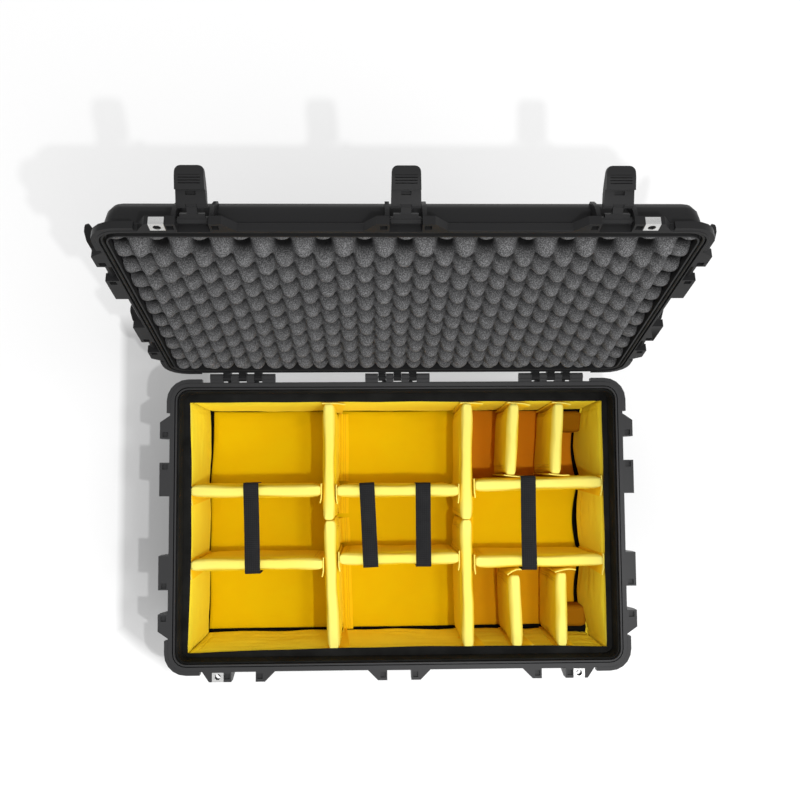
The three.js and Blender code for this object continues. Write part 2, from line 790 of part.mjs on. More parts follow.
function buildGasket() {
  const outer = -channel.fromEdge - gasket.inset;
  const inner = outer - gasket.width;
  const top = rim + channel.depth - fitGap;
  const foot = top - gasket.height;
  return loft([
    level(outer, foot + edgeBreak), level(outer, top), level(inner, top),
    level(inner, foot + edgeBreak), level(inner + edgeBreak, foot), level(outer - edgeBreak, foot),
  ], true);
}

// Convoluted foam: a slab that fits the lid's hollow, with rows of staggered peaks.
function buildFoam() {
  const radius = lidEdgeRound - wall - foam.roundInset;
  const arc = lidArc(lidArcOut, lidArcOver, radius, 2);
  const trimmer = loft([
    level(-foam.side, rim - foam.proud - overrun),
    level(-foam.side, rim + lidArcOver / 2),
    ...arc.map(([out, over]) => level(out, rim + over)),
  ]);
  const stepX = foam.pitchX / 2;
  const stepY = foam.pitchY / 2;
  const countX = Math.ceil(halfWidth / stepX);
  const countY = Math.ceil(halfDepth / stepY);
  const tip = rim - foam.proud;
  const valley = rim + lidInnerDepth - foam.back;
  const lid = rim + lidOuterDepth;
  const row = 2 * countX + 1;
  const positions = [];
  const indices = [];
  const layers = [(share) => valley + (tip - valley) * share, () => lid];
  for (const layer of layers) {
    for (let j = -countY; j <= countY; j++) {
      for (let i = -countX; i <= countX; i++) {
        const wave = Math.cos(Math.PI * i) * Math.cos(Math.PI * j);
        positions.push(i * stepX, j * stepY, layer((1 + wave) / 2));
      }
    }
  }
  const size = row * (2 * countY + 1);
  const at = (i, j, upper) => (upper ? size : 0) + j * row + i;
  const quad = (a, b, c, d) => indices.push(a, b, c, a, c, d);
  for (let j = 0; j < 2 * countY; j++) {
    for (let i = 0; i < 2 * countX; i++) {
      quad(at(i, j), at(i, j + 1), at(i + 1, j + 1), at(i + 1, j));
      quad(at(i, j, true), at(i + 1, j, true), at(i + 1, j + 1, true), at(i, j + 1, true));
    }
  }
  for (let i = 0; i < 2 * countX; i++) {
    const last = 2 * countY;
    quad(at(i, 0), at(i + 1, 0), at(i + 1, 0, true), at(i, 0, true));
    quad(at(i + 1, last), at(i, last), at(i, last, true), at(i + 1, last, true));
  }
  for (let j = 0; j < 2 * countY; j++) {
    const last = 2 * countX;
    quad(at(0, j + 1), at(0, j), at(0, j, true), at(0, j + 1, true));
    quad(at(last, j), at(last, j + 1), at(last, j + 1, true), at(last, j, true));
  }
  const slab = new THREE.BufferGeometry();
  slab.setAttribute('position', new THREE.Float32BufferAttribute(positions, 3));
  slab.setIndex(indices);
  return new Body(slab).trim(trimmer).geometry;
}

// Latch link, about its trunnion axis, hanging closed.
function buildLink() {
  const half = latch.width / 2;
  const endY = -latch.linkOut;
  const endZ = -latch.linkDrop;
  const link = new Body(prismX(circle(latch.barrel, 0, 0), -half, half));
  link.join(prismX(circle(latch.trunnion, 0, 0), -half - latch.trunnionLong, half + latch.trunnionLong));
  const yoke = latch.yokeThick / 2;
  link.join(block(-latch.yokeHalf, latch.yokeHalf, -yoke, yoke, -latch.yokeDrop, 0));
  const tab = latch.tabThick / 2;
  const tabOutline = [[-tab, 0], [endY - tab, endZ], [endY + tab, endZ], [tab, 0]];
  link.join(prismX(tabOutline, -latch.tab / 2, latch.tab / 2));
  link.join(prismX(circle(latch.knuckle, endY, endZ), -latch.tab / 2, latch.tab / 2));
  link.cut(prismX(circle(latch.knuckleBore, endY, endZ), -half, half));
  return link.geometry;
}

// Latch lever, about its pin on the link, hanging closed: barrel, hook face, slot and thumb pad.
function buildLever() {
  const half = latch.width / 2;
  const outline = [
    [-latch.leverBarrel, 0], [-lever.belly, -lever.bellyDrop],
    [-lever.waist - lever.ridgeDeep, -lever.waistDrop],
    [lever.padOut, -lever.padDrop + lever.tipOut], [lever.padOut + lever.tipOut / 2, -lever.padDrop],
    [lever.tipIn, -lever.padDrop], [lever.padIn, -lever.padDrop + lever.tipRound],
    [lever.hookReach, -lever.waistDrop - lever.tipRound], [lever.hookReach, -lever.hookDrop],
    [lever.panelIn, -lever.hookDrop], [latch.leverBarrel, 0],
  ];
  const body = new Body(prismX(outline, -half, half));
  body.join(prismX(circle(latch.leverBarrel, 0, 0), -half, half));
  const gap = latch.tab / 2 + latch.tabGap;
  const room = latch.knuckle + latch.tabGap + lever.ridgeDeep;
  body.cut(prismX(circle(room, 0, 0), -gap, gap));
  body.cut(block(-gap, gap, -room, room, 0, room));
  body.join(prismX(circle(latch.leverPin, 0, 0), -gap - overrun, gap + overrun));
  const slotHalf = lever.slotWide / 2;
  const slotTop = -lever.slotDrop;
  body.cut(block(-slotHalf, slotHalf, lever.slotFloor, half, slotTop - lever.slotHigh, slotTop));
  const face = new THREE.Shape();
  const foot = -lever.padDrop;
  face.moveTo(-half, latch.linkDrop);
  const tipHalf = half - lever.taper - lever.tipRound;
  face.lineTo(-tipHalf - lever.tipRound, foot + lever.tipRound);
  face.absarc(-tipHalf, foot + lever.tipRound, lever.tipRound, Math.PI, 3 * Math.PI / 2);
  face.absarc(tipHalf, foot + lever.tipRound, lever.tipRound, 3 * Math.PI / 2, 2 * Math.PI);
  face.lineTo(half, latch.linkDrop);
  body.trim(prismY(face.getPoints(2).map((point) => [point.x, point.y]), -half, half));
  for (let i = 0; i < lever.ridgeCount; i++) {
    const z = -lever.ridgeFrom - i * lever.ridgePitch;
    const y = lever.hookReach;
    const spread = lever.ridgePitch / 3;
    const notch = [[y - lever.ridgeDeep * 2, z], [y + overrun, z - spread], [y + overrun, z + spread]];
    body.cut(prismX(notch, -lever.ridgeHalf, lever.ridgeHalf));
  }
  return body.geometry;
}

// Steel plate in a padlock lug, drawn about the lug's centre with its face at zero; "inward" is its back.
function buildPlate(inward) {
  const half = plate.wide / 2;
  const [z0, z1] = ordered(0, inward * plate.thick);
  const [f0, f1] = ordered(0, inward * plate.fold);
  const body = new Body(block(-half, half, -rib.reach, -plate.inner, z0, z1));
  body.join(block(-half, half, -rib.reach, -rib.reach + plate.thick, f0, f1));
  const across = -(rib.reach - plate.thick + plate.inner) / 2;
  body.cut(prismZ(circle(plate.hole, 0, across), z0 - overrun, z1 + overrun));
  return body.geometry;
}

// Carrying handle about its pivot, hanging.
function buildBail() {
  const outer = new THREE.Shape();
  const half = bail.half - bail.bevel;
  const arm = bail.arm - 2 * bail.bevel;
  const inner = half - arm;
  const top = bail.rise - bail.bevel;
  const foot = -bail.drop + bail.bevel;
  const grip = foot + bail.grip - 2 * bail.bevel;
  const round = bail.round;
  const small = round / 2;
  outer.moveTo(half, top);
  outer.lineTo(inner, top);
  outer.lineTo(inner, grip + small);
  outer.absarc(inner - small, grip + small, small, 0, -Math.PI / 2, true);
  outer.absarc(-inner + small, grip + small, small, -Math.PI / 2, -Math.PI, true);
  outer.lineTo(-inner, top);
  outer.lineTo(-half, top);
  outer.lineTo(-half, foot + round);
  outer.absarc(-half + round, foot + round, round, Math.PI, 3 * Math.PI / 2);
  outer.absarc(half - round, foot + round, round, 3 * Math.PI / 2, 2 * Math.PI);
  const geometry = new THREE.ExtrudeGeometry(outer, {
    depth: bail.thick - 2 * bail.bevel, bevelEnabled: true, bevelThickness: bail.bevel,
    bevelSize: bail.bevel, bevelSegments: 1, curveSegments: 3,
  });
  geometry.translate(0, 0, -bail.thick / 2 + bail.bevel);
  geometry.rotateX(Math.PI / 2);
  const body = new Body(geometry);
  const reach = bail.half + bailPivot.long;
  for (const hand of [-1, 1]) {
    const [from, to] = ordered(hand * (bail.half - bail.arm / 2), hand * reach);
    body.join(prismX(circle(bailPivot.trunnion, 0, 0), from, to));
  }
  return body.geometry;
}

// Pull-out handle: two rods under the floor and a bar across the left end.
function buildPullHandle() {
  const barX = -halfWidth - pull.barOut + overrun;
  const middle = pull.height;
  const bar = new THREE.Shape();
  const halfLong = pull.barHalf - pull.bevel;
  bar.moveTo(-halfLong, -pull.barThick / 2 + pull.bevel);
  bar.lineTo(halfLong, -pull.barThick / 2 + pull.bevel);
  bar.lineTo(halfLong, pull.barThick / 2 - pull.bevel);
  bar.lineTo(-halfLong, pull.barThick / 2 - pull.bevel);
  const geometry = new THREE.ExtrudeGeometry(bar, {
    depth: pull.barWide - 2 * pull.bevel, bevelEnabled: true, bevelThickness: pull.bevel,
    bevelSize: pull.bevel, bevelSegments: 1,
  });
  geometry.translate(0, 0, -pull.barWide / 2 + pull.bevel);
  geometry.rotateZ(Math.PI / 2);
  const body = new Body(geometry.translate(barX + pull.barThick / 2, 0, middle));
  for (const hand of [-1, 1]) {
    body.join(prismX(circle(pull.rod, hand * pull.spacing / 2, middle), barX + pull.barThick / 2, rodEnd));
  }
  return body.geometry;
}

// Wheel pieces about the axle, turned along Y.
function turned(profile, segments) {
  const points = profile.map(([radius, along]) => new THREE.Vector2(radius, along));
  points.push(points[0].clone());
  return new THREE.LatheGeometry(points, segments);
}

function buildTyre() {
  const half = wheel.wide / 2;
  const crown = wheel.crown;
  return turned([
    [wheel.hub + fitGap, -half + crown / 2], [wheel.radius - crown, -half], [wheel.radius, -half + crown],
    [wheel.radius, half - crown], [wheel.radius - crown, half], [wheel.hub + fitGap, half - crown / 2],
  ], turnSides);
}

function buildHub() {
  const half = wheel.wide / 2;
  const dish = wheel.crown;
  return turned([
    [axle.hubBore, -half], [axle.hubBore + dish, -half], [wheel.hub - dish, -half + 2 * dish],
    [wheel.hub, -half + dish / 2], [wheel.hub, half - dish / 2], [wheel.hub - dish, half - 2 * dish],
    [axle.hubBore + dish, half], [axle.hubBore, half],
  ], turnSides);
}

function buildAxle() {
  const reach = wheel.wide / 2 + well.sideGap + axle.seat - fitGap;
  return prismY(circle(axle.radius, 0, 0), -reach, reach);
}

function buildValve() {
  const body = new Body(prismY(circle(valve.knob, 0, 0, 2 * rodSides), -valve.thick, 0));
  body.join(prismY(circle(valve.stem, 0, 0), -overrun, valve.bossOut + overrun));
  return body.geometry;
}

// A padded slab: full in the middle, thinner at its edge band, with its outline drawn in between corners.
// Each flare moves the top of one end outwards and its foot inwards.
function cushion(long, thick, high, flares = [0, 0]) {
  const spread = (size) => {
    const near = 1 - 2 * padding.edge / size;
    return [-1, -near, 0, near, 1];
  };
  const across = spread(long);
  const upwards = spread(high);
  const last = across.length - 1;
  const fullness = [padding.edgeShare, padding.nearShare, 1, padding.nearShare, padding.edgeShare];
  const positions = [];
  const indices = [];
  for (const face of [-1, 1]) {
    upwards.forEach((v, j) => {
      across.forEach((u, i) => {
        const flare = u < 0 ? flares[0] : flares[1];
        const x = (long / 2 + flare * v - padding.pull * (1 - v * v)) * u;
        const z = (high / 2 - padding.pull * (1 - u * u)) * v;
        positions.push(x, face * (thick / 2) * Math.min(fullness[i], fullness[j]), z);
      });
    });
  }
  const row = last + 1;
  const at = (i, j, face) => face * row * row + j * row + i;
  const quad = (a, b, c, d) => indices.push(a, b, c, a, c, d);
  for (let j = 0; j < last; j++) {
    for (let i = 0; i < last; i++) {
      quad(at(i, j, 0), at(i + 1, j, 0), at(i + 1, j + 1, 0), at(i, j + 1, 0));
      quad(at(i, j, 1), at(i, j + 1, 1), at(i + 1, j + 1, 1), at(i + 1, j, 1));
    }
  }
  for (let i = 0; i < last; i++) {
    quad(at(i, 0, 1), at(i + 1, 0, 1), at(i + 1, 0, 0), at(i, 0, 0));
    quad(at(i, last, 0), at(i + 1, last, 0), at(i + 1, last, 1), at(i, last, 1));
    quad(at(0, i, 0), at(0, i + 1, 0), at(0, i + 1, 1), at(0, i, 1));
    quad(at(last, i, 1), at(last, i + 1, 1), at(last, i + 1, 0), at(last, i, 0));
  }
  const geometry = new THREE.BufferGeometry();
  geometry.setAttribute('position', new THREE.Float32BufferAttribute(positions, 3));
  geometry.setIndex(indices);
  return geometry;
}

// Webbing strap over two cross dividers: a flat span with a leg down each outer face.
function buildStrap(reach) {
  const half = reach / 2;
  const outline = [
    [-half, -strap.leg], [-half + strap.thick, -strap.leg], [-half + strap.thick, 0], [half - strap.thick, 0],
    [half - strap.thick, -strap.leg], [half, -strap.leg], [half, strap.thick], [-half, strap.thick],
  ];
  return prismX(outline, -strap.wide / 2, strap.wide / 2);
}

// Scene graph.

function makeMesh(name, geometry, finish) {
  const mesh = new THREE.Mesh(geometry, new THREE.MeshStandardMaterial({ ...finish }));
  mesh.name = name;
  return mesh;
}

function sideGroup(side) {
  const group = new THREE.Group();
  group.rotation.z = side.turn;
  return group;
}

const hardCase = new THREE.Group();
hardCase.add(makeMesh('base_shell', buildBase(), plastic));

const lidPivot = new THREE.Group();
lidPivot.position.set(0, halfDepth + hinge.out, rim - hinge.under);
lidPivot.rotation.x = -radians(lidOpenDegrees);
hardCase.add(lidPivot);
const lidFrame = new THREE.Group();
lidFrame.position.copy(lidPivot.position).negate();
lidPivot.add(lidFrame);
lidFrame.add(makeMesh('lid_shell', buildLid(), plastic));
lidFrame.add(makeMesh('lid_gasket', buildGasket(), rubber));
lidFrame.add(makeMesh('lid_foam', buildFoam(), foamGrey));

hingeStations.forEach((along, i) => {
  const reach = hinge.half - fitGap;
  const pin = makeMesh(`hinge_pin_${i + 1}`, prismX(circle(hinge.pin, 0, 0), -reach, reach), steel);
  pin.position.set(along, halfDepth + hinge.out, rim - hinge.under);
  hardCase.add(pin);
});

for (const station of stations) {
  const side = sideGroup(station.side);
  lidFrame.add(side);
  const link = new THREE.Group();
  link.position.set(station.along, -station.side.reach - latch.pivotOut, rim + latch.pivotOver);
  link.rotation.x = -radians(station.front ? linkOpenDegrees.front : linkOpenDegrees.side);
  side.add(link);
  link.add(makeMesh(`latch_link_${station.name}`, buildLink(), darkPlastic));
  const leverGroup = new THREE.Group();
  leverGroup.position.set(0, -latch.linkOut, -latch.linkDrop);
  leverGroup.rotation.x = -radians(leverOpenDegrees);
  link.add(leverGroup);
  leverGroup.add(makeMesh(`latch_lever_${station.name}`, buildLever(), darkPlastic));
}

for (const hand of [-1, 1]) {
  const word = hand < 0 ? 'left' : 'right';
  const along = hand * (frontStations[2] + latchGap / 2 + lug.centre);
  const lower = makeMesh(`base_padlock_plate_${word}`, buildPlate(-1), steel);
  lower.position.set(along, -halfDepth, rim);
  hardCase.add(lower);
  const upper = makeMesh(`lid_padlock_plate_${word}`, buildPlate(1), steel);
  upper.position.set(along, -halfDepth, rim + closedGap);
  lidFrame.add(upper);
}

for (const [word, side] of Object.entries(bailSides)) {
  const group = sideGroup(side);
  hardCase.add(group);
  const handle = makeMesh(`${word}_handle`, buildBail(), darkPlastic);
  handle.position.set(0, -side.reach - bailPivot.out, rim - bailPivot.under);
  group.add(handle);
}

hardCase.add(makeMesh('pull_handle', buildPullHandle(), darkPlastic));

for (const hand of [-1, 1]) {
  const word = hand < 0 ? 'front' : 'back';
  const spin = new THREE.Group();
  spin.position.set(wheelX, hand * wheelY, wheel.lift + wheel.radius);
  hardCase.add(spin);
  spin.add(makeMesh(`wheel_tyre_${word}`, buildTyre(), rubber));
  spin.add(makeMesh(`wheel_hub_${word}`, buildHub(), hubGrey));
  spin.add(makeMesh(`wheel_axle_${word}`, buildAxle(), steel));
}

const valveMesh = makeMesh('pressure_valve', buildValve(), darkPlastic);
valveMesh.position.set(valve.station, -halfDepth - valve.bossOut + flangeOver - fitGap, rim - valve.under);
hardCase.add(valveMesh);

// Liner panels and dividers: each is drawn upright along X and then turned and placed.
const panelTop = rim - linerDrop;
const panelFoot = floorLift + wall + bottomRound.inner + pad.lift;
const panelHigh = panelTop - panelFoot;
const panelMiddle = (panelTop + panelFoot) / 2;
const innerOut = baseWallOut(panelMiddle) - wall - fitGap;
const panelTilt = Math.atan(baseLean / baseInnerDepth);
const insideX = halfWidth + innerOut;
const insideY = halfDepth + innerOut;

function wellKeepout(hand) {
  const box = wellBox(hand, well.wall + fitGap, wellTop);
  return block(box.x0, flangeWidth, box.y0, box.y1, 0, box.z1);
}

const wells = [wellKeepout(-1), wellKeepout(1)];

function placePadded(name, body) {
  hardCase.add(makeMesh(name, body.cut(...wells).geometry, yellowCloth));
}

// Wall panels lean with the shell's walls.
function wallPanel(side, long, thick) {
  const inside = side.reach + innerOut;
  const geometry = cushion(long, thick, panelHigh);
  geometry.rotateX(panelTilt).translate(0, -inside + thick / 2 + fitGap, panelMiddle);
  return new Body(geometry.rotateZ(side.turn));
}

const floorPadMiddle = floorLift + wall + fitGap + pad.floor / 2;
const floorPadTop = floorPadMiddle + pad.floor / 2;
const innerEdge = {
  left: -insideX + pad.side,
  right: insideX - pad.side,
  front: -insideY + pad.front,
  back: insideY - pad.back,
};
const panelLean = panelTilt * panelHigh / 2;

// Padded cap over a wheel well, sewn to the right panel.
function wellCover(hand) {
  const box = wellBox(hand, well.wall + fitGap, wellTop);
  const [near, far] = hand < 0
    ? [box.y1 + wellCap.beside, innerEdge.front + panelLean + wellCap.fromBack]
    : [box.y0 - wellCap.beside, innerEdge.back - panelLean - wellCap.fromBack];
  const [y0, y1] = ordered(near, far);
  return block(
    box.x0 - wellCap.beside, innerEdge.right + wellCap.behind / 2, y0, y1,
    floorPadTop + fitGap, box.z1 + wellCap.over);
}

const sideLong = 2 * (insideY - pad.cornerClear);
const frontLong = 2 * (insideX - pad.side - 2 * fitGap - panelLean);
placePadded('liner_left', wallPanel(sides.left, sideLong, pad.side));
placePadded('liner_right', wallPanel(sides.right, sideLong, pad.side).join(wellCover(-1), wellCover(1)));
placePadded('liner_front', wallPanel(sides.front, frontLong, pad.front));
placePadded('liner_back', wallPanel(sides.back, frontLong, pad.back));

const floorLong = 2 * (insideX - pad.floorInset);
const floorDeep = 2 * (insideY - pad.floorInset - pad.floorEase);
const floorPad = cushion(floorLong, pad.floor, floorDeep);
placePadded('liner_floor', new Body(floorPad.rotateX(Math.PI / 2).translate(0, 0, floorPadMiddle)));

// Black collar between the panels' tops and the rim, against the shell's wall.
function buildCollar() {
  const foot = panelTop + collar.foot;
  const top = rim - collar.under;
  const outer = (height) => baseWallOut(height) - wall - 2 * fitGap;
  return loft([
    level(outer(foot), foot), level(outer(top), top),
    level(outer(top) - collar.thick, top), level(outer(foot) - collar.thick, foot),
  ], true);
}

hardCase.add(makeMesh('liner_collar', buildCollar(), blackCloth));

// Dividers: each has its place as a share of the case's length or depth, and stands a little askew.
const dividerFoot = floorPadTop + fitGap;
const dividerHigh = panelTop - dividerFoot;
const dividerMiddle = (panelTop + dividerFoot) / 2;
const dividerFlare = panelTilt * dividerHigh / 2;
const halfThick = dividerThick / 2;
const middleJoint = 5;
const quarterTurn = 90;
const columns = {
  left: { back: { share: -0.1547, skew: 0 }, front: { share: -0.1483, skew: 1.73 } },
  right: { back: { share: 0.1567, skew: -0.8 }, front: { share: 0.1555, skew: 0.48 } },
};
const rows = {
  back: {
    left: { share: 0.1177, skew: 0 },
    middle: { share: 0.1134, skew: 0 },
    right: { share: 0.1362, skew: 1.09 },
  },
  front: {
    left: { share: -0.1453, skew: 0 },
    middle: { share: -0.1262, skew: 0 },
    right: { share: -0.1404, skew: 0 },
  },
};
const shortColumns = {
  back: [{ share: 0.2614, skew: -3.5 }, { share: 0.3632, skew: -3.5 }],
  front: [{ share: 0.2635, skew: 1.77 }, { share: 0.3675, skew: -1 }],
};
const strapShares = [
  { bay: 'left', share: -0.3263, skew: 1.4 }, { bay: 'middle', share: -0.065, skew: 2.6 },
  { bay: 'middle', share: 0.0573, skew: 0 }, { bay: 'right', share: 0.2947, skew: 0 },
];

const slopeOf = (degrees) => Math.tan(radians(degrees));

// Room beyond a divider's end where it meets another piece askew.
function endRoom(...skews) {
  const askew = skews.reduce((sum, degrees) => sum + Math.abs(degrees), 0);
  return fitGap + halfThick * slopeOf(askew);
}

const wallRoom = 2 * fitGap;

function divider(name, x, y, long, turn, flares) {
  const geometry = cushion(long, dividerThick, dividerHigh, flares);
  placePadded(name, new Body(geometry.rotateZ(radians(turn)).translate(x, y, dividerMiddle)));
}

// The two halves of each column meet end to end near the middle of the case.
for (const [word, parts] of Object.entries(columns)) {
  const joint = endRoom(parts.back.skew, parts.front.skew) / 2;
  parts.back.from = middleJoint + joint;
  parts.back.to = innerEdge.back - wallRoom - endRoom(parts.back.skew);
  parts.front.from = innerEdge.front + wallRoom + endRoom(parts.front.skew);
  parts.front.to = middleJoint - joint;
  for (const [place, part] of Object.entries(parts)) {
    part.at = part.share * flangeWidth;
    part.middle = (part.from + part.to) / 2;
    const flares = place === 'back' ? [0, dividerFlare] : [dividerFlare, 0];
    divider(
      `divider_${word}_${place}`, part.at, part.middle, part.to - part.from, quarterTurn + part.skew, flares);
  }
}

// Where a column's face lies at a distance along it, with room for a piece that meets it.
function columnFace(column, y, hand, skew) {
  const middle = column.at - slopeOf(column.skew) * (y - column.middle);
  return middle + hand * (halfThick + endRoom(column.skew, skew));
}

for (const [place, bays] of Object.entries(rows)) {
  const leftColumn = columns.left[place];
  const rightColumn = columns.right[place];
  for (const [bay, row] of Object.entries(bays)) {
    row.at = row.share * flangeDepth;
    const wallEnd = wallRoom + endRoom(row.skew);
    const ends = {
      left: [innerEdge.left + wallEnd, columnFace(leftColumn, row.at, -1, row.skew)],
      middle: [columnFace(leftColumn, row.at, 1, row.skew), columnFace(rightColumn, row.at, -1, row.skew)],
      right: [columnFace(rightColumn, row.at, 1, row.skew), innerEdge.right - wallEnd],
    }[bay];
    const flares = { left: [dividerFlare, 0], middle: [0, 0], right: [0, dividerFlare] }[bay];
    row.middle = (ends[0] + ends[1]) / 2;
    divider(`cross_divider_${place}_${bay}`, row.middle, row.at, ends[1] - ends[0], row.skew, flares);
  }
}

function rowAt(row, x) {
  return row.at + slopeOf(row.skew) * (x - row.middle);
}

for (const [place, dividers] of Object.entries(shortColumns)) {
  const row = rows[place].right;
  dividers.forEach(({ share, skew }, i) => {
    const x = share * flangeWidth;
    const outward = place === 'back' ? 1 : -1;
    const near = rowAt(row, x) + outward * (halfThick + endRoom(row.skew, skew));
    const far = innerEdge[place] - outward * (wallRoom + endRoom(skew));
    const long = Math.abs(far - near);
    const flares = place === 'back' ? [0, dividerFlare] : [dividerFlare, 0];
    divider(`short_divider_${place}_${i + 1}`, x, (near + far) / 2, long, quarterTurn + skew, flares);
  });
}

// Each strap lies over two cross dividers of its bay.
strapShares.forEach(({ bay, share, skew }, i) => {
  const x = share * flangeWidth;
  const room = halfThick + fitGap + strap.wide / 2 * slopeOf(Math.abs(skew) + Math.abs(rows.back[bay].skew));
  const backFace = rowAt(rows.back[bay], x) + room;
  const frontFace = rowAt(rows.front[bay], x) - room;
  const mesh = makeMesh(`strap_${i + 1}`, buildStrap(backFace - frontFace + 2 * strap.thick), blackCloth);
  mesh.rotation.z = radians(skew);
  mesh.position.set(x, (backFace + frontFace) / 2, panelTop + fitGap);
  hardCase.add(mesh);
});

export default hardCase;
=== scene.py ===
"""Protective hard case, open on a pale floor: moulded shells, latches, foam and a padded divider set.

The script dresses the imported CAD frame. Lengths are in metres and angles in degrees unless a name says
otherwise. X runs along the long side, Y from the latches to the hinges, and Z up from the floor.
"""

import json
import logging
import math
from collections.abc import Callable, Iterator
from contextlib import contextmanager
from dataclasses import dataclass, field
from enum import Enum

import bpy
from mathutils import Matrix, Vector, noise


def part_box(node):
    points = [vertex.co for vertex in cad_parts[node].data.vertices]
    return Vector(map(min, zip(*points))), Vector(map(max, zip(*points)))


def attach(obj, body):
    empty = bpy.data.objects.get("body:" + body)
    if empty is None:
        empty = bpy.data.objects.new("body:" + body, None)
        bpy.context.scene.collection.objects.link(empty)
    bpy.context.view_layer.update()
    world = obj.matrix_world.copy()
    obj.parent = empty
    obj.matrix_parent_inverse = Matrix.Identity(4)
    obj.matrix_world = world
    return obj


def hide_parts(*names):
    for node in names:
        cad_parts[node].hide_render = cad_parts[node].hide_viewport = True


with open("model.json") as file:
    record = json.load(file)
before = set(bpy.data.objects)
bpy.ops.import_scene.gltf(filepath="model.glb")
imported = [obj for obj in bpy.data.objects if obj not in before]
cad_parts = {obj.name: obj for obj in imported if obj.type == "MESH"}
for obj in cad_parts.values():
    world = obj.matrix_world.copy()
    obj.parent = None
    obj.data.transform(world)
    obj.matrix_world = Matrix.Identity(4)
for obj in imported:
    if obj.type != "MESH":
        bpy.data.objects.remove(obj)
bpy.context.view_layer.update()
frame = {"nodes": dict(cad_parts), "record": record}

LOG = logging.getLogger("hard_case")
Piece = bpy.types.Object
Socket = bpy.types.NodeSocket
MM = 0.001

RIM = 247 * MM
LID_PIVOT = Vector((0.0, 243.34 * MM, RIM - 4.33 * MM))
LID_OPEN = 105.2
LOOSE_TRIANGLES = 0.002 * MM
FLAP_ROOM = 2.3 * MM
BAY_PITCH = 137 * MM
BAY_PHASE = 8 * MM
WELL_CAP_SIZE = Vector((43.5 * MM, 39.3 * MM, 48.5 * MM))
WELL_CAP_MIDDLE = 176.35 * MM
WELL_CAP_FOOT = 36.8 * MM
WELL_LOW = Vector((306.6 * MM, 163.6 * MM, 0.0))
WELL_HIGH = Vector((380 * MM, 206.4 * MM, 77.4 * MM))
WELL_SQUEEZE = 2 * MM
HEM_ROUND = 0.5 * MM
HEM_ANGLE = 50.0
NOISE_SPAN = (0.3, 0.7)
HALF_CIRCLE = math.pi / 2


class Body(str, Enum):
    """CAD bodies that dressed pieces ride on by name."""

    CASE = "case"
    LID = "lid"


class Slot(str, Enum):
    """Material slots of the record."""

    SHELL = "shell_plastic"
    FITTING = "fitting_plastic"
    HUB = "hub_plastic"
    PLATE = "plate_steel"
    PIN = "pin_steel"
    GASKET = "gasket_rubber"
    TYRE = "tyre"
    CLOTH = "padded_cloth"
    LINING = "lining_cloth"
    STRAP = "strap_webbing"
    FOAM = "lid_foam"


def turned(angle: float, axis: str = "Z") -> Matrix:
    """Turn about one axis by an angle in degrees."""
    return Matrix.Rotation(math.radians(angle), 4, axis)


def turned_box(node: str, angle: float) -> tuple[Vector, Vector]:
    """Box of a CAD node along axes that are turned about Z.

    Args:
        node: The CAD node.
        angle: How far the axes are turned.

    Returns:
        Its low and its high corner on those axes.
    """
    back = turned(-angle)
    points = [back @ vertex.co for vertex in frame["nodes"][node].data.vertices]
    low, high = (Vector([pick(point[axis] for point in points) for axis in range(3)]) for pick in (min, max))
    return low, high


